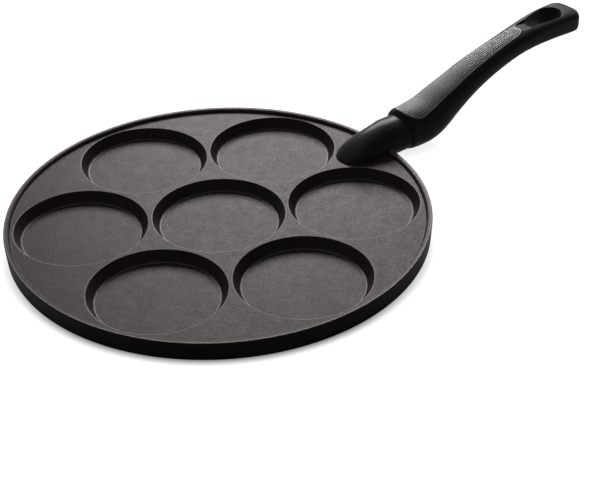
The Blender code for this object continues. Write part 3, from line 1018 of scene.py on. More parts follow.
        # The cooking coat is on deck, wells and the top of the rim; the rim's inner wall takes
        # the darker, duller outside coat as painted shade
        cooking = [f for f in bm.faces
                   if f.calc_center_median().z > self.rim_top - self.rim_edge
                   or f.calc_center_median().xy.length < self.rim_foot + self.rim_fillet]
        for bounds, middle in self.pockets():
            self.add_pocket(bm, bounds, middle)
        fill_level(bm, self.deck - self.wall)
        fill_level(bm, 0.0)
        for face in bm.faces:
            face.material_index = Coat.OUTSIDE_AND_SHADED_RIM_WALL.value
        for face in cooking:
            face.material_index = Coat.COOKING.value
        bmesh.ops.remove_doubles(bm, verts=bm.verts, dist=WELD)
        return to_object(bm, "pan_casting")

    def half_width(self, x: float) -> float:
        """Half the lug's width: a rounded nose that is full width at the rim.

        Args:
            x: Place along the lug.

        Returns:
            The half width there.
        """
        share = min(max((x - self.nose_x) / self.lug_nose, 0.0), 1.0)
        return self.lug_width / 2 * math.sqrt(1 - (1 - share) ** 2)

    def ridge(self, x: float) -> float:
        """Height of the lug's ridge.

        Args:
            x: Place along the lug.

        Returns:
            The height there.
        """
        share = min((x - self.nose_x) / (self.seam_x - self.nose_x - self.lug_crown), 1.0)
        return self.deck + self.lug_rise * (1 - (1 - share) ** 2) ** self.lug_fullness

    def lug_ring(self, x: float, inset: float = 0.0, floor: float | None = None) -> list[Vector]:
        """One section of the lug, or of the core inside it when inset.

        Args:
            x: Place along the lug.
            inset: How far inside the lug's skin it lies.
            floor: Its lowest height, or None for the lug's own.

        Returns:
            The points of the section.
        """
        passed = (x - self.radius + self.undercut_start) / self.undercut_length
        middle = self.deck + (self.seam_z - self.deck) * min(max(passed, 0.0), 1.0) ** 2
        if floor is None:
            past = x > self.radius - self.skirt_draft - self.wall / 2
            floor = self.lug_clearance if past else self.deck - self.wall / 2
        lean = self.mouth_lean * max(0.0, (x - self.radius) / self.lug_reach)
        above = max(self.ridge(x) - middle - inset, self.least)
        wide = max(self.half_width(x) - inset, self.least)
        ring = oval(x, middle, wide, above, middle - floor, self.lug_squareness, lean,
                    self.lug_steps)
        if inset:
            return ring
        return [self.flared(point, x) for point in ring]

    def flared(self, point: Vector, x: float) -> Vector:
        """Push a point of the lug's foot outwards, so that it runs out on to the deck.

        Args:
            point: A point of a section.
            x: Place of the section.

        Returns:
            The moved point.
        """
        height = max(point.z - self.deck, 0.0)
        fade = 1 - min(max((x - self.radius + self.rim_width * 2) / self.rim_width, 0.0), 1.0)
        reach = self.foot_flare * fade
        if height >= reach or reach <= 0:
            return point
        share = self.flare_share * (1 - height / reach)
        out = reach * (1 - math.sqrt(1 - share * share))
        step = self.foot_flare / 10
        slope = (self.half_width(x + step) - self.half_width(x)) / step
        normal = Vector((-slope, math.copysign(1.0, point.y), 0.0)).normalized()
        return point + normal * out

    def lug(self) -> bpy.types.Object:
        """Make the solid lug with its tang, ready to join the plate.

        Returns:
            The solid.
        """
        count = self.lug_places
        shares = [self.nose_start + (1 - self.nose_start) * (i / count) ** 2 for i in range(count)]
        on_deck = [self.nose_x + self.lug_inset * share for share in shares]
        past = [self.radius + self.lug_reach * i / self.reach_places
                for i in range(self.reach_places + 1)]
        obj = to_object(tube([self.lug_ring(x) for x in on_deck + past]), "lug")
        start = self.seam_x - self.lug_reach / 2
        combine(obj, self.tang(0.0, start, self.tang_length), Cut.UNION)
        return obj

    def tang(self, clearance: float, start: float, length: float) -> bpy.types.Object:
        """Make the tang that the handle slides on to, or its socket when given clearance.

        Args:
            clearance: How far it is grown on every side.
            start: Where it starts.
            length: How far it reaches past the seam.

        Returns:
            The solid.
        """
        rings = []
        for x, taper in ((start, 0.0), (self.seam_x + length, self.tang_taper)):
            half = self.tang_height / 2
            rings.append(oval(x, self.seam_z, self.tang_width / 2 - taper + clearance,
                              half - taper + clearance, half + clearance,
                              self.tang_squareness, 0.0, self.tang_steps))
        return to_object(tube(rings), "tang")

    def core(self) -> bpy.types.Object:
        """Make the space that is cored out of the lug from below.

        Returns:
            The cutter.
        """
        start = self.nose_x + self.core_nose
        end = self.radius - self.skirt_draft - self.wall - self.core_setback
        places = [start + (end - start) * i / self.core_places for i in range(self.core_places + 1)]
        rings = [self.lug_ring(x, inset=self.lug_wall, floor=-GAP) for x in places]
        return to_object(tube(rings), "lug_core")

    def build(self, coats: list[bpy.types.Material], screw: "Screw",
              screw_x: float) -> bpy.types.Object:
        """Make the whole casting and dress it.

        Args:
            coats: Finishes of the cooking side, of the outside and of the lug.
            screw: The screw that enters the tang.
            screw_x: Where it does.

        Returns:
            The finished piece.
        """
        body = self.plate()
        parts = ((self.lug(), Coat.LUG, Cut.UNION), (self.core(), Coat.OUTSIDE_AND_SHADED_RIM_WALL, Cut.DIFFERENCE))
        for obj in [body] + [part[0] for part in parts]:
            for coat in coats:
                obj.data.materials.append(coat)
        for tool, coat, how in parts:
            tool.data.polygons.foreach_set("material_index", [coat.value] * len(tool.data.polygons))
            combine(body, tool, how)
        low = self.seam_z - self.tang_height / 2
        hole = screw.bore(screw.radius + GAP, low - GAP, low + screw.bite + GAP, screw_x)
        combine(body, hole, Cut.DIFFERENCE)
        shade(body, sharp_degrees=30.0)
        # Pale lines on lips, floor corners and rim: partly wear, partly painted highlight
        paint(body, "wear_and_painted_highlight", [self.wear_and_painted_highlight(v.co) for v in body.data.vertices])
        return body


# The handle


@dataclass
class Handle:
    """The moulded handle with its mouth, swept grip, hanging slot and thumb ramp.

    Attributes:
        casting: The casting whose lug the handle meets.
        length: Length from the seam to the end.
        rise: How much higher the centre line is at the end than at the mouth.
        clearance: Height of the handle's lowest point over the base.
        lip_length: Length of the rounded lip at the mouth.
        mouth_width: Width behind the lip.
        belly_width: Width at the belly, the widest place.
        belly_height: Height there.
        grip_width: Width of the grip.
        grip_height: Its height.
        neck_width: Width at the neck, the narrowest place.
        neck_height: Its height.
        end_width: Width of the end.
        end_height: Its height.
        end_corner: Radius of the end's corners, seen from above.
        end_edge: Radius of its upper and lower edges.
        slot_length: Length of the hanging slot.
        slot_width: Its width at the far end.
        slot_nose_width: Its width at the near end.
        slot_end_wall: Thickness of the wall behind it.
        slot_round: Radius of the round on its edges.
        ramp_length: Length of the thumb ramp before the slot.
        ramp_width: Its width.
        ramp_depth: Its depth where it meets the slot.
        ramp_round: Radius of the rounds on its edge and floor.
        ramp_ease: Most of a wall's height that such a round takes.
        seat_wall: Thickness of the wall that the screw clamps.
        crowding: Power that draws the sections closer together near the mouth.
        lip_angles: Places of the sections on the lip's round, in degrees.
        end_angles: Places of the sections on the end's round, in degrees.
        slot_angles: Places of the rings on the slot's round, in degrees.
        ramp_angles: Places of the rings on the round of the ramp's edge.
        floor_angles: Places of the rings on the round of the ramp's floor.
        steps: Points round a section.
        places: Sections along the grip.
        far_steps: Steps round the slot's far end.
        near_steps: Steps round its near end.
        ramp_places: Steps along the ramp.
        ramp_steps: Steps round the ramp's near end.
        sweep: Share of length and share of rise along the centre line.
        sections: Share of length, width, height and squareness along the handle.
        skin: The uncut handle's surface, once it is built.
    """

    casting: Casting
    length: float = 162 * MM
    rise: float = 36.1 * MM
    clearance: float = 0.9 * MM
    lip_length: float = 3.6 * MM
    mouth_width: float = 29.4 * MM
    belly_width: float = 31.6 * MM
    belly_height: float = 29.6 * MM
    grip_width: float = 26.8 * MM
    grip_height: float = 21.4 * MM
    neck_width: float = 23.0 * MM
    neck_height: float = 16.2 * MM
    end_width: float = 28.4 * MM
    end_height: float = 16.0 * MM
    end_corner: float = 6.5 * MM
    end_edge: float = 1.5 * MM
    slot_length: float = 30.9 * MM
    slot_width: float = 18.0 * MM
    slot_nose_width: float = 12.0 * MM
    slot_end_wall: float = 11.8 * MM
    slot_round: float = 0.9 * MM
    ramp_length: float = 9.6 * MM
    ramp_width: float = 11.4 * MM
    ramp_depth: float = 2.8 * MM
    ramp_round: float = 0.7 * MM
    ramp_ease: float = 0.45
    seat_wall: float = 2.6 * MM
    crowding: float = 1.15
    lip_angles: tuple[int, ...] = (6, 12, 20, 28, 36, 45, 54, 63, 72, 81)
    end_angles: tuple[int, ...] = (0, 8, 16, 24, 32, 40, 48, 56, 64, 72, 79, 85)
    slot_angles: tuple[int, ...] = (78, 60, 45, 30, 15, 0)
    ramp_angles: tuple[int, ...] = (76, 60, 45, 30, 15, 0)
    floor_angles: tuple[int, ...] = (0, 30, 60, 90)
    steps: int = 112
    places: int = 130
    far_steps: int = 44
    near_steps: int = 26
    ramp_places: int = 10
    ramp_steps: int = 48
    sweep: tuple[tuple[float, ...], ...] = (
        (0.0, 0.0), (0.06, 0.0), (0.136, 0.042), (0.247, 0.277), (0.389, 0.564),
        (0.543, 0.782), (0.679, 0.922), (0.821, 0.995), (1.0, 1.0))
    sections: tuple[tuple[float, ...], ...] = field(init=False)
    skin: BVHTree | None = None

    def __post_init__(self) -> None:
        """Set up the table of sections from the named widths and heights."""
        self.sections = ((0.0, self.mouth_width, self.belly_height, 2.2),
                         (0.11, self.belly_width, self.belly_height, 2.3),
                         (0.33, self.grip_width, self.grip_height, 2.3),
                         (0.62, self.neck_width, self.neck_height, 2.6),
                         (0.95, self.end_width, self.end_height, 4.0),
                         (1.0, self.end_width, self.end_height, 4.0))

    @property
    def seam_x(self) -> float:
        """Where the handle starts."""
        return self.casting.seam_x

    @property
    def end_x(self) -> float:
        """Where the handle ends."""
        return self.seam_x + self.length

    @property
    def belly_z(self) -> float:
        """Height of the centre line at the mouth."""
        return self.clearance + self.belly_height / 2

    @property
    def slot_near_x(self) -> float:
        """Where the hanging slot starts."""
        return self.end_x - self.slot_end_wall - self.slot_length

    @property
    def ramp_x(self) -> float:
        """Where the thumb ramp starts."""
        return self.slot_near_x - self.ramp_length

    def centre(self, x: float) -> float:
        """Height of the centre line."""
        return self.belly_z + self.rise * through(self.sweep, 1, (x - self.seam_x) / self.length)

    def lean(self, x: float) -> float:
        """Lean of a section: square to the centre line, but set by the seam at the mouth.

        Args:
            x: Place along the handle.

        Returns:
            The lean in radians.
        """
        step = self.end_edge
        slope = (self.centre(x + step) - self.centre(x - step)) / (2 * step)
        mouth = max(0.0, 1 - (x - self.seam_x) / (self.belly_height / 2))
        return math.atan(slope) * (1 - mouth) + self.casting.mouth_lean * mouth

    def size(self, x: float) -> tuple[float, float, float]:
        """Read the section at a place.

        Args:
            x: Place along the handle.

        Returns:
            Half its width, half its height and its squareness.
        """
        share = (x - self.seam_x) / self.length
        width, height, power = (through(self.sections, c, share) for c in (1, 2, 3))
        return width / 2, height / 2, power

    def mouth_ring(self, angle: float) -> list[Vector]:
        """A section of the rounded lip, from the lug's outline out to the full handle.

        Args:
            angle: Place on the lip's round in radians, from 0 at the lug.

        Returns:
            The points of the section.
        """
        lug = self.casting
        x = self.seam_x + GAP + self.lip_length * (1 - math.cos(angle))
        grown = math.sin(angle)
        half_width, half_height, power = self.size(x)
        middle = self.centre(x)
        low = lug.lug_clearance + (middle - half_height - lug.lug_clearance) * grown
        high = lug.lug_top_z + (middle + half_height - lug.lug_top_z) * grown
        wide = lug.lug_width / 2 + (half_width - lug.lug_width / 2) * grown
        half = (high - low) / 2
        return oval(x, (low + high) / 2, wide, half, half, power, self.lean(x), self.steps)

    def rings(self) -> list[list[Vector]]:
        """All sections of the handle from mouth to end.

        Returns:
            The sections, each a ring of points.
        """
        rings = [self.mouth_ring(math.radians(degrees)) for degrees in self.lip_angles]
        start = self.seam_x + GAP + self.lip_length
        round_start = self.end_x - self.end_corner
        for i in range(self.places):
            x = start + (round_start - start) * (i / self.places) ** self.crowding
            half_width, half_height, power = self.size(x)
            rings.append(oval(x, self.centre(x), half_width, half_height, half_height, power,
                              self.lean(x), self.steps))
        for degrees in self.end_angles:
            a = math.radians(degrees)
            x = round_start + self.end_corner * math.sin(a)
            half_width, half_height, power = self.size(x)
            half_width -= self.end_corner * (1 - math.cos(a))
            half_height -= self.end_edge * (1 - math.cos(a))
            rings.append(oval(x, self.centre(x), half_width, half_height, half_height, power,
                              self.lean(x), self.steps))
        return rings

    def top(self, x: float, y: float) -> tuple[float, Vector]:
        """Find the uncut handle's upper skin over a point.

        Args:
            x: Place along the handle.
            y: Place across it.

        Returns:
            Height of the skin and its normal.
        """
        hit, normal, _, _ = self.skin.ray_cast(Vector((x, y, CLEAR)), -UP)
        return (hit.z, normal) if hit else (self.centre(x), UP.copy())

    def bottom(self, x: float, y: float) -> float:
        """Find the uncut handle's lower skin under a point.

        Args:
            x: Place along the handle.
            y: Place across it.

        Returns:
            Height of the skin.
        """
        hit, _, _, _ = self.skin.ray_cast(Vector((x, y, -CLEAR)), UP)
        return hit.z if hit else self.centre(x)

    def slot_outline(self, grow: float) -> Outline:
        """Outline of the hanging slot: two unlike round ends joined by tangents.

        Args:
            grow: How far the outline is grown.

        Returns:
            The points of the outline.
        """
        far = self.slot_width / 2 + grow
        near = self.slot_nose_width / 2 + grow
        far_x = self.end_x - self.slot_end_wall - self.slot_width / 2
        near_x = self.slot_near_x + self.slot_nose_width / 2
        tilt = math.degrees(math.acos((far - near) / (far_x - near_x)))
        return (arc((far_x, 0.0), far, tilt - 180, 180 - tilt, self.far_steps)
                + arc((near_x, 0.0), near, 180 - tilt, 180 + tilt, self.near_steps))

    def slot(self) -> bpy.types.Object:
        """Cutter for the hanging slot, flared where it meets the skin above and below.

        Returns:
            The cutter.
        """
        levels = []
        for degrees in self.slot_angles:
            a = math.radians(degrees)
            levels.append((self.slot_round * (1 - math.cos(a)), self.slot_round * (1 - math.sin(a))))
        high = self.centre(self.end_x) + self.end_height
        low = self.centre(self.slot_near_x) - self.end_height
        rings = [[Vector((x, y, high)) for x, y in self.slot_outline(levels[0][0] + GAP)]]
        for side in (1, -1):
            for grow, depth in levels[::side]:
                rings.append([self.slot_point(x, y, side, depth) for x, y in self.slot_outline(grow)])
        rings.append([Vector((x, y, low)) for x, y in self.slot_outline(levels[0][0] + GAP)])
        return to_object(tube(rings), "slot")

    def slot_point(self, x: float, y: float, side: int, depth: float) -> Vector:
        """A point of the slot's cutter at a depth under the upper or lower skin.

        Args:
            x: Place along the handle.
            y: Place across it.
            side: 1 for the upper skin, -1 for the lower.
            depth: Depth under that skin.

        Returns:
            The point.
        """
        z = self.top(x, y)[0] - depth if side > 0 else self.bottom(x, y) + depth
        return Vector((x, y, z))

    def ramp(self) -> bpy.types.Object:
        """Cutter for the thumb ramp: a round-ended channel that slopes into the slot.

        Returns:
            The cutter.
        """
        radius = self.ramp_width / 2
        length = self.ramp_length + self.slot_nose_width / 2
        start_z = self.top(self.ramp_x, 0.0)[0]
        end_z = self.top(self.ramp_x + length, 0.0)[0] - self.ramp_depth

        def floor(x: float) -> float:
            """Height of the ramp's floor at a place along it."""
            return start_z + (end_z - start_z) * (x - self.ramp_x) / length

        def outline(grow: float) -> Outline:
            """The ramp's outline from above.

            Args:
                grow: How far it is grown.

            Returns:
                The points of the outline.
            """
            reach = radius + grow
            centre = (self.ramp_x + radius, 0.0)
            run = self.ramp_x + length - centre[0]
            straight = [(centre[0] + run * i / self.ramp_places, reach)
                        for i in range(1, self.ramp_places + 1)]
            return (straight[::-1] + arc(centre, reach, 90, 270, self.ramp_steps)
                    + [(x, -y) for x, y in straight])

        def moved(x: float, y: float, out: float) -> Point:
            """A point of the outline, moved square to it.

            Args:
                x: Its place along the handle.
                y: Its place across it.
                out: How far it moves outwards.

            Returns:
                The moved point.
            """
            if x < self.ramp_x + radius:
                away = Vector((x - self.ramp_x - radius, y)).normalized()
            else:
                away = Vector((0.0, math.copysign(1.0, y)))
            return x + away.x * out, y + away.y * out

        plan = outline(0.0)
        walls = [max(self.top(x, y)[0] - floor(x), 0.0) for x, y in plan]
        rounds = [min(self.ramp_round, self.ramp_ease * wall) for wall in walls]
        high = self.centre(self.end_x) + self.end_height
        rings = [[Vector((x, y, high)) for x, y in outline(self.ramp_round)]]
        for degrees in self.ramp_angles:
            a = math.radians(degrees)
            ring = []
            for (x, y), soft in zip(plan, rounds):
                px, py = moved(x, y, soft * (1 - math.cos(a)))
                ring.append(Vector((px, py, self.top(px, py)[0] - soft * (1 - math.sin(a)))))
            rings.append(ring)
        for degrees in self.floor_angles:
            a = math.radians(degrees)
            ring = []
            for (x, y), soft in zip(plan, rounds):
                px, py = moved(x, y, -soft * (1 - math.cos(a)))
                ring.append(Vector((px, py, floor(px) + soft * (1 - math.sin(a)))))
            rings.append(ring)
        return to_object(tube(rings), "ramp")

    def build(self, inlay: "Inlay", screw: "Screw",
              moulding: bpy.types.Material) -> bpy.types.Object:
        """Make the whole handle and dress it.

        Args:
            inlay: The inlay whose bed is cut into the handle.
            screw: The screw whose hole is cut into it.
            moulding: The handle's finish.

        Returns:
            The finished piece.
        """
        bm = tube(self.rings())
        bmesh.ops.recalc_face_normals(bm, faces=bm.faces)
        self.skin = BVHTree.FromBMesh(bm)
        obj = to_object(bm, "handle_moulding")
        obj.data.materials.append(moulding)
        cutters = [self.slot(), self.ramp(), inlay.bed(self),
                   self.casting.tang(GAP, self.seam_x - GAP * 4, self.casting.tang_length + GAP)]
        seat = screw.seat(self)
        cutters.append(screw.bore(screw.head_radius + 2 * GAP, -GAP, seat, screw.place(self)))
        cutters.append(screw.bore(screw.radius + GAP, seat - GAP, self.casting.seam_z,
                                  screw.place(self)))
        for cutter in cutters:
            combine(obj, cutter, Cut.DIFFERENCE)
        shade(obj)
        return obj


@dataclass
class Inlay:
    """The soft dimpled inlay on top of the grip.

    Attributes:
        thickness: Its thickness.
        front_width: Its width near the mouth.
        back_width: Its width near the thumb ramp.
        setback: How far behind the handle's mouth it starts.
        nose: Length of its rounded front.
        tail: Length of its rounded back.
        overrun: How far it runs past the start of the thumb ramp.
        fullness: Power that makes its front and sides fuller.
        crowding: Power that draws the points closer together at its front.
        seam: Width of the seam round it.
        edge_round: Width of the round on its edge.
        edge_depth: How far that round goes down.
        pitch_x: Spacing of the dimples along the grip.
        pitch_y: Spacing across it.
        dimple: Radius of a dimple.
        depth: Its depth.
        steepness: Power that makes a dimple's floor flat and its wall steep.
        margin: Width of the plain band along the edge.
        end_steps: Steps round the front and round the back of its outline.
        side_steps: Steps along its side.
        columns: Faces along the inlay.
        rows: Faces across it.
        bed_columns: Faces along the cutter for its bed.
        bed_rows: Faces across that.
        bed_over: How far the cutter stands over the handle's skin.
    """

    thickness: float = 1.6 * MM
    front_width: float = 24.0 * MM
    back_width: float = 12.6 * MM
    setback: float = 2.2 * MM
    nose: float = 12.0 * MM
    tail: float = 7.5 * MM
    overrun: float = 1.5 * MM
    fullness: float = 0.7
    crowding: float = 1.5
    seam: float = 0.15 * MM
    edge_round: float = 0.45 * MM
    edge_depth: float = 0.2 * MM
    pitch_x: float = 1.67 * MM
    pitch_y: float = 1.70 * MM
    dimple: float = 0.72 * MM
    depth: float = 0.36 * MM
    steepness: int = 6
    margin: float = 1.3 * MM
    end_steps: int = 60
    side_steps: int = 80
    columns: int = 480
    rows: int = 88
    bed_columns: int = 150
    bed_rows: int = 14
    bed_over: float = 1.5 * MM

    def side(self, handle: Handle, grow: float = 0.0) -> np.ndarray:
        """One side of the inlay's plan, from nose to tail, as (x, half width) rows.

        Args:
            handle: The handle that it lies in.
            grow: How far the outline is grown.

        Returns:
            An array of many points.
        """
        shift = handle.belly_height / 2 * math.sin(handle.casting.mouth_lean)
        start = handle.seam_x - shift + self.setback - grow
        end = handle.ramp_x + self.overrun + grow
        front = self.front_width / 2 + grow
        back = self.back_width / 2 + grow
        nose = start + self.nose
        tail = end - self.tail
        points = []
        for i in range(self.end_steps + 1):
            a = math.pi / 2 * (i / self.end_steps) ** self.crowding
            points.append((nose - self.nose * math.cos(a), front * math.sin(a) ** self.fullness))
        for i in range(1, self.side_steps):
            share = i / self.side_steps
            points.append((nose + (tail - nose) * share,
                           front + (back - front) * share ** self.fullness))
        for i in range(self.end_steps + 1):
            a = math.pi / 2 * i / self.end_steps
            points.append((tail + self.tail * math.sin(a), back * math.cos(a)))
        return np.array(points)

    def along(self, side: np.ndarray, count: int) -> np.ndarray:
        """Resample a side at even steps of its own length.

        Args:
            side: Points as side() gives them.
            count: Number of steps.

        Returns:
            The new points, one more than the steps.
        """
        steps = np.hypot(*np.diff(side, axis=0).T)
        length = np.concatenate([[0.0], np.cumsum(steps)])
        at = np.linspace(0.0, length[-1], count + 1)
        return np.stack([np.interp(at, length, side[:, k]) for k in (0, 1)], axis=1)

    def slab(self, side: np.ndarray, rows: int, thickness: float,
             place: Callable[[float, float], Vector]) -> bmesh.types.BMesh:
        """A slab between the inlay's two sides, with its upper face laid by a function.

        Args:
            side: One side of the plan.
            rows: Faces across.
            thickness: Height of the slab.
            place: Gives a point of the upper face from its place in plan.

        Returns:
            A closed mesh.
        """
        bm = bmesh.new()
        sheet(bm, len(side) - 1, rows,
              lambda i, j: place(side[i, 0], side[i, 1] * (2 * j / rows - 1)))
        bmesh.ops.remove_doubles(bm, verts=bm.verts, dist=WELD)
        bmesh.ops.recalc_face_normals(bm, faces=bm.faces)
        if sum(f.normal.z for f in bm.faces) < 0:
            bmesh.ops.reverse_faces(bm, faces=bm.faces)
        under = bmesh.ops.duplicate(bm, geom=bm.faces[:] + bm.edges[:] + bm.verts[:])["geom"]
        bmesh.ops.translate(bm, verts=[v for v in under if isinstance(v, bmesh.types.BMVert)],
                            vec=-UP * thickness)
        bmesh.ops.reverse_faces(bm, faces=[f for f in under if isinstance(f, bmesh.types.BMFace)])
        bmesh.ops.bridge_loops(bm, edges=[e for e in bm.edges if e.is_boundary])
        return bm

    def bed(self, handle: Handle) -> bpy.types.Object:
        """Cutter for the bed that the inlay lies in.

        Args:
            handle: The handle, whose skin is ready.

        Returns:
            The cutter.
        """
        side = self.along(self.side(handle, self.seam), self.bed_columns)
        slab = self.slab(side, self.bed_rows, self.bed_over + self.thickness + self.seam,
                         lambda x, y: Vector((x, y, handle.top(x, y)[0] + self.bed_over)))
        return to_object(slab, "inlay_bed")

    def build(self, handle: Handle, rubber: bpy.types.Material) -> bpy.types.Object:
        """Make the inlay with its dimples and dress it.

        Args:
            handle: The handle, whose skin is ready.
            rubber: The inlay's finish.

        Returns:
            The finished piece.
        """
        side = self.along(self.side(handle), self.columns)
        border = np.concatenate([side, side[::-1] * (1, -1)])

        def place(x: float, y: float) -> Vector:
            """A point of the upper face: on the handle's skin, let in at edge and dimples.

            Args:
                x: Place along the grip.
                y: Place across it.

            Returns:
                The point.
            """
            z, normal = handle.top(x, y)
            drop = self.edge_drop(x, y, border) + self.depth * self.pit(x, y, border)
            return Vector((x, y, z)) - normal * drop

        obj = to_object(self.slab(side, self.rows, self.thickness, place), "grip_inlay")
        obj.data.materials.append(rubber)
        shade(obj, sharp_degrees=50.0)
        paint(obj, "pit", [self.pit(v.co.x, v.co.y, border) for v in obj.data.vertices])
        return obj

    def edge_drop(self, x: float, y: float, border: np.ndarray) -> float:
        """How far the inlay's rounded edge lies under the handle's skin.

        Args:
            x: Place along the grip.
            y: Place across it.
            border: Points of the inlay's outline.

        Returns:
            The depth in metres.
        """
        inside = min(float(np.min(np.hypot(border[:, 0] - x, border[:, 1] - y))), self.edge_round)
        r = self.edge_round
        return self.edge_depth * (1 - math.sqrt(max(1 - (1 - inside / r) ** 2, 0.0)))

    def pit(self, x: float, y: float, border: np.ndarray) -> float:
        """How deep in a dimple a point lies, from 0 to 1, with a plain band along the edge.

        Args:
            x: Place along the grip.
            y: Place across it.
            border: Points of the inlay's outline.

        Returns:
            The share of a dimple's depth.
        """
        inside = float(np.min(np.hypot(border[:, 0] - x, border[:, 1] - y)))
        fade = min(max(2 * inside / self.margin - 1, 0.0), 1.0)
        dx = (x / self.pitch_x + 0.5) % 1.0 - 0.5
        dy = (y / self.pitch_y + 0.5) % 1.0 - 0.5
        away = math.hypot(dx * self.pitch_x, dy * self.pitch_y) / self.dimple
        return fade * (1 - away ** self.steepness) ** 2 if away < 1 else 0.0


# The fastening


@dataclass
class Screw:
    """The plated screw that draws the handle on to the tang, and its spring washer.

    Attributes:
        radius: Radius of the thread.
        head_radius: Radius of the head.
        head_height: Its height.
        head_edge: Height of the round on its outer edge.
        head_face: Radius of its flat face.
        bulge: Height and reach of the round's middle, in shares of the whole round.
        head_soft: Size of the soft edge on the head's inner side.
        chamfer: Size of the chamfer at the screw's tip.
        drive_radius: Radius of the hex socket over its corners.
        drive_depth: Its depth.
        setback: How far behind the seam the screw stands.
        bite: How far it reaches into the tang.
        washer_thickness: Thickness of the washer.
        washer_slit: Width of its slit.
        washer_soft: Size of the soft edges on it.
        pitch: Pitch of the thread.
        thread_depth: Depth of the thread.
        thread_flank: Steepness of its flanks; higher leaves more of the crest.
        turn_rows: Rings for one turn of the thread.
        columns: Points round the screw.
        washer_steps: Steps round the washer.
        bore_sides: Sides of a round bore.
    """

    radius: float = 2.5 * MM
    head_radius: float = 4.3 * MM
    head_height: float = 2.6 * MM
    head_edge: float = 1.2 * MM
    head_face: float = 3.1 * MM
    bulge: Point = (0.35, 0.72)
    head_soft: float = 0.1 * MM
    chamfer: float = 0.5 * MM
    drive_radius: float = 1.7 * MM
    drive_depth: float = 1.5 * MM
    setback: float = 16 * MM
    bite: float = 8.0 * MM
    washer_thickness: float = 1.0 * MM
    washer_slit: float = 0.9 * MM
    washer_soft: float = 0.12 * MM
    pitch: float = 0.8 * MM
    thread_depth: float = 0.42 * MM
    thread_flank: float = 3.2
    turn_rows: int = 8
    columns: int = 48
    washer_steps: int = 64
    bore_sides: int = 40

    def place(self, handle: Handle) -> float:
        """Where the screw stands along the handle."""
        return handle.seam_x + self.setback

    def tang_low(self, handle: Handle) -> float:
        """Height of the tang's lower face."""
        return handle.casting.seam_z - handle.casting.tang_height / 2

    def seat(self, handle: Handle) -> float:
        """Height of the seat inside the handle."""
        return self.tang_low(handle) - GAP - handle.seat_wall

    def bore(self, radius: float, low: float, high: float, x: float,
             sides: int | None = None) -> bpy.types.Object:
        """Make an upright cutter on the handle line.

        Args:
            radius: Its radius over the corners.
            low: Height of its lower end.
            high: Height of its upper end.
            x: Where it stands along the handle.
            sides: Number of sides, or None for a round bore.

        Returns:
            The cutter.
        """
        bm = bmesh.new()
        bmesh.ops.create_cone(bm, cap_ends=True, segments=sides or self.bore_sides,
                              radius1=radius, radius2=radius, depth=high - low,
                              matrix=Matrix.Translation((x, 0, (low + high) / 2)))
        return to_object(bm, "bore")

    def build(self, handle: Handle, plated: bpy.types.Material) -> bpy.types.Object:
        """Make the screw, head down, with its thread and hex socket.

        Args:
            handle: The handle that it holds.
            plated: Its finish.

        Returns:
            The finished piece.
        """
        x0 = self.place(handle)
        head_top = self.seat(handle) - GAP - self.washer_thickness - GAP
        head_low = head_top - self.head_height
        tip = self.tang_low(handle) + self.bite
        columns = self.columns
        rows = int((tip - head_top) / (self.pitch / self.turn_rows))

        def radius(angle: float, z: float) -> float:
            """Radius of the threaded shank.

            Args:
                angle: Angle round the screw in radians.
                z: Height.

            Returns:
                The radius there.
            """
            turn = ((z - head_top) / self.pitch - angle / (2 * math.pi)) % 1.0
            cut = self.thread_depth * max(0.0, 1 - abs(turn - 0.5) * self.thread_flank)
            end = max(0.0, self.chamfer - (tip - z))
            return self.radius - cut - end

        up, out = self.bulge
        head = ((self.head_face, head_low),
                (self.head_face + (self.head_radius - self.head_face) * out,
                 head_low + self.head_edge * up),
                (self.head_radius, head_low + self.head_edge),
                (self.head_radius, head_top - self.head_soft),
                (self.head_radius - self.head_soft, head_top))
        rings = [[place] * columns for place in head]
        for j in range(rows + 1):
            z = head_top + (tip - head_top) * j / rows
            rings.append([(radius(2 * math.pi * i / columns, z), z) for i in range(columns)])
        points = [[Vector((x0 + r * math.cos(2 * math.pi * i / columns),
                           r * math.sin(2 * math.pi * i / columns), z))
                   for i, (r, z) in enumerate(ring)] for ring in rings]
        obj = to_object(tube(points), "screw")
        obj.data.materials.append(plated)
        drive = self.bore(self.drive_radius, head_low - GAP, head_low + self.drive_depth, x0,
                          sides=6)
        combine(obj, drive, Cut.DIFFERENCE)
        shade(obj, sharp_degrees=30.0)
        return obj

    def washer(self, handle: Handle, plated: bpy.types.Material) -> bpy.types.Object:
        """Make the split spring washer over the head.

        Args:
            handle: The handle that it seats in.
            plated: Its finish.

        Returns:
            The finished piece.
        """
        x0 = self.place(handle)
        high = self.seat(handle) - GAP
        inner = self.radius + GAP
        outer = self.head_radius
        thick = self.washer_thickness
        slit = self.washer_slit / outer
        bm = bmesh.new()
        corners = [(inner, high), (outer, high), (outer, high - thick), (inner, high - thick)]
        soft = self.washer_soft
        section = []
        for k, (r, z) in enumerate(corners):
            into_r = soft if r == inner else -soft
            into_z = -soft if z == high else soft
            pair = [(r, z + into_z), (r + into_r, z)]
            section += pair if k % 2 == 0 else pair[::-1]

        def place(i: int, j: int) -> Vector:
            """A point of the washer.

            Args:
                i: Step round the washer.
                j: Step round its section.

            Returns:
                The point.
            """
            r, z = section[j % len(section)]
            a = slit / 2 + (2 * math.pi - slit) * i / self.washer_steps
            return Vector((x0 + r * math.cos(a), r * math.sin(a), z))

        sheet(bm, self.washer_steps, len(section), place)
        bmesh.ops.remove_doubles(bm, verts=bm.verts, dist=WELD)
        bmesh.ops.holes_fill(bm, edges=[e for e in bm.edges if e.is_boundary], sides=0)
        obj = to_object(bm, "split_washer")
        obj.data.materials.append(plated)
        shade(obj, sharp_degrees=40.0)
        return obj


# The studio


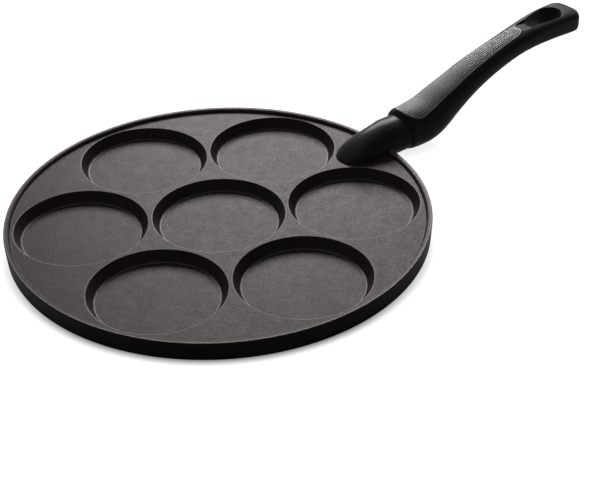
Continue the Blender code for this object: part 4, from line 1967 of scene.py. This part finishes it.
@dataclass(frozen=True)
class Softbox:
    """One square lamp that faces the pan.

    Attributes:
        azimuth: Direction it stands in, in degrees from +X towards +Y.
        elevation: Its height over the floor in degrees.
        distance: Its distance from the pan.
        width: Its width.
        height: Its height.
        brightness: Its brightness, where 1 is a white surface in plain light.
    """

    azimuth: float
    elevation: float
    distance: float
    width: float
    height: float
    brightness: float

    def build(self, name: str, target: Vector) -> None:
        """Set the lamp up.

        Args:
            name: Name of the lamp.
            target: The point it faces.
        """
        lamp = bpy.data.lights.new(name, "AREA")
        lamp.shape = "RECTANGLE"
        lamp.size = self.width
        lamp.size_y = self.height
        lamp.energy = self.brightness * math.pi * self.width * self.height
        obj = bpy.data.objects.new(name, lamp)
        bpy.context.scene.collection.objects.link(obj)
        a, e = math.radians(self.azimuth), math.radians(self.elevation)
        away = Vector((math.cos(a) * math.cos(e), math.sin(a) * math.cos(e), math.sin(e)))
        obj.location = target + away * self.distance
        obj.rotation_euler = away.to_track_quat("Z", "Y").to_euler()
        obj.visible_camera = False


@dataclass
class Studio:
    """Camera, floor, world and lamps.

    Attributes:
        camera_place: Where the photograph was taken from.
        camera_turn: The camera's turn about X, Y and Z, in degrees.
        lens: Its focal length in millimetres.
        sensor: Width of its sensor in millimetres.
        target: The point that the lamps face.
        world_grey: Colour of the room's own light.
        world_strength: Its strength.
        floor_radius: Radius of the floor with its raised edge.
        flat_share: Share of that radius that lies flat.
        wall_height: Height of the raised edge.
        floor_gap: How far the floor lies under the pan's base.
        floor_steps: Facets round the floor.
    """

    camera_place: tuple[float, float, float] = (-0.42316, -0.64146, 0.51122)
    camera_turn: tuple[float, float, float] = (55.3555, 1.0767, -37.9620)
    lens: float = 86.4725
    sensor: float = 36.0
    target: tuple[float, float, float] = (0.05, 0.0, 0.02)
    world_grey: str = "ffffff"
    world_strength: float = 0.16
    floor_radius: float = 5.0
    flat_share: float = 0.75
    wall_height: float = 1.1
    floor_gap: float = 0.05 * MM
    floor_steps: int = 96

    def camera(self) -> None:
        """Set the camera at the photograph's viewpoint."""
        data = bpy.data.cameras.new("camera")
        data.lens = self.lens
        data.sensor_width = self.sensor
        data.sensor_fit = "HORIZONTAL"
        obj = bpy.data.objects.new("camera", data)
        obj.location = self.camera_place
        obj.rotation_euler = Euler([math.radians(v) for v in self.camera_turn], "XYZ")
        bpy.context.scene.collection.objects.link(obj)
        bpy.context.scene.camera = obj

    def floor(self) -> None:
        """Lay the pale floor, with an edge that curves up far behind everything."""
        bm = bmesh.new()
        flat = self.floor_radius * self.flat_share
        profile = [(0.0, -self.floor_gap), (flat, -self.floor_gap)]
        for degrees in range(10, 81, 10):
            a = math.radians(degrees)
            profile.append((flat + (self.floor_radius - flat) * math.sin(a),
                            self.wall_height * (1 - math.cos(a))))
        spin_profile(bm, profile, self.floor_steps)
        obj = to_object(bm, "studio_floor")
        obj.data.shade_smooth()
        obj.data.materials.append(StageFinish().make())

    def world(self) -> None:
        """Give the room a plain dim light of its own."""
        world = bpy.data.worlds.new("room")
        bpy.context.scene.world = world
        world.use_nodes = True
        back = world.node_tree.nodes["Background"]
        back.inputs["Color"].default_value = linear(self.world_grey)
        back.inputs["Strength"].default_value = self.world_strength

    def build(self) -> None:
        """Set everything up."""
        bpy.context.scene.view_settings.view_transform = "Standard"
        self.camera()
        self.floor()
        self.world()
        target = Vector(self.target)
        # Low behind the pan: the glow on the deck and on top of the handle
        Softbox(azimuth=52.8, elevation=30.4, distance=1.5, width=0.75, height=0.50,
                brightness=24.0).build("back_softbox", target)
        # High on the left: a little light in the wells' walls and on the skirt
        Softbox(azimuth=150.0, elevation=70.0, distance=1.5, width=0.9, height=0.9,
                brightness=0.8).build("top_softbox", target)


# Assembly


def main() -> None:
    """Build the pan around its frame."""
    logging.basicConfig(level=logging.INFO, format="%(message)s")
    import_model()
    Studio().build()

    # A sprayed and baked coat: warm dark grey, dull, and finely speckled
    cooking = NonstickCoating("cast aluminium with PTFE coating", "201d1c", "272423",
                              roughness=0.47, roughness_drift=0.05, specular=0.087,
                              grain=0.5 * MM, grain_depth=0.02 * MM, tint="ffd4d6")
    # The same casting in a black outer coat: near black, with hardly any gloss;
    # on the rim's inner wall it is painted shade
    outside = NonstickCoating("cast aluminium with black outer coat", "181616", "1c1a1a",
                              roughness=0.44, roughness_drift=0.04, specular=0.025,
                              grain=0.45 * MM, grain_depth=0.015 * MM, speck_colour="1a1818",
                              mottling=0.03)
    # The coat on the lug, smoothed by hands: black with a soft light along its ridge
    worn = NonstickCoating("cast aluminium lug with hand-worn coat", "1e1c1b", "242221",
                           roughness=0.27, roughness_drift=0.04, specular=0.032,
                           grain=0.5 * MM, grain_depth=0.015 * MM, sheen=0.09,
                           speck_colour="2a2827")
    # Pressed in a blasted mould: even black with a satin bloom at low angles
    phenolic = MouldedFinish("moulded phenolic", "171515", "1b1919", roughness=0.33,
                             roughness_drift=0.04, specular=0.036, grain=0.35 * MM,
                             grain_depth=0.012 * MM, sheen=0.19)
    # Soft rubber moulded into the handle: grey and silky, with its dimples painted dark as shade
    soft = MouldedFinish("moulded TPE inlay", "6e6768", "766f70", roughness=0.27,
                         roughness_drift=0.05, specular=0.20, grain=0.25 * MM,
                         grain_depth=0.012 * MM, sheen=0.62)
    # Turned and plated steel: bright, cool grey, a little uneven
    zinc = MouldedFinish("zinc-plated steel", "b9bcc2", "a8abb0", roughness=0.30,
                         roughness_drift=0.06, specular=0.5, grain=0.2 * MM,
                         grain_depth=0.004 * MM, metallic=1.0)
    coats = [cooking.make(), outside.make(), worn.make()]
    moulding = phenolic.make()
    rubber = soft.make()
    plated = zinc.make()

    casting = Casting()
    handle = Handle(casting)
    inlay = Inlay()
    screw = Screw()
    body = casting.build(coats, screw, screw.place(handle))
    hand_over(body, "pan_body")
    hand_over(handle.build(inlay, screw, moulding), "handle")
    hand_over(inlay.build(handle, rubber), "grip_panel")
    hand_over(screw.build(handle, plated), "handle_screw")
    hand_over(screw.washer(handle, plated), "spring_washer")


if __name__ == "__main__":
    main()
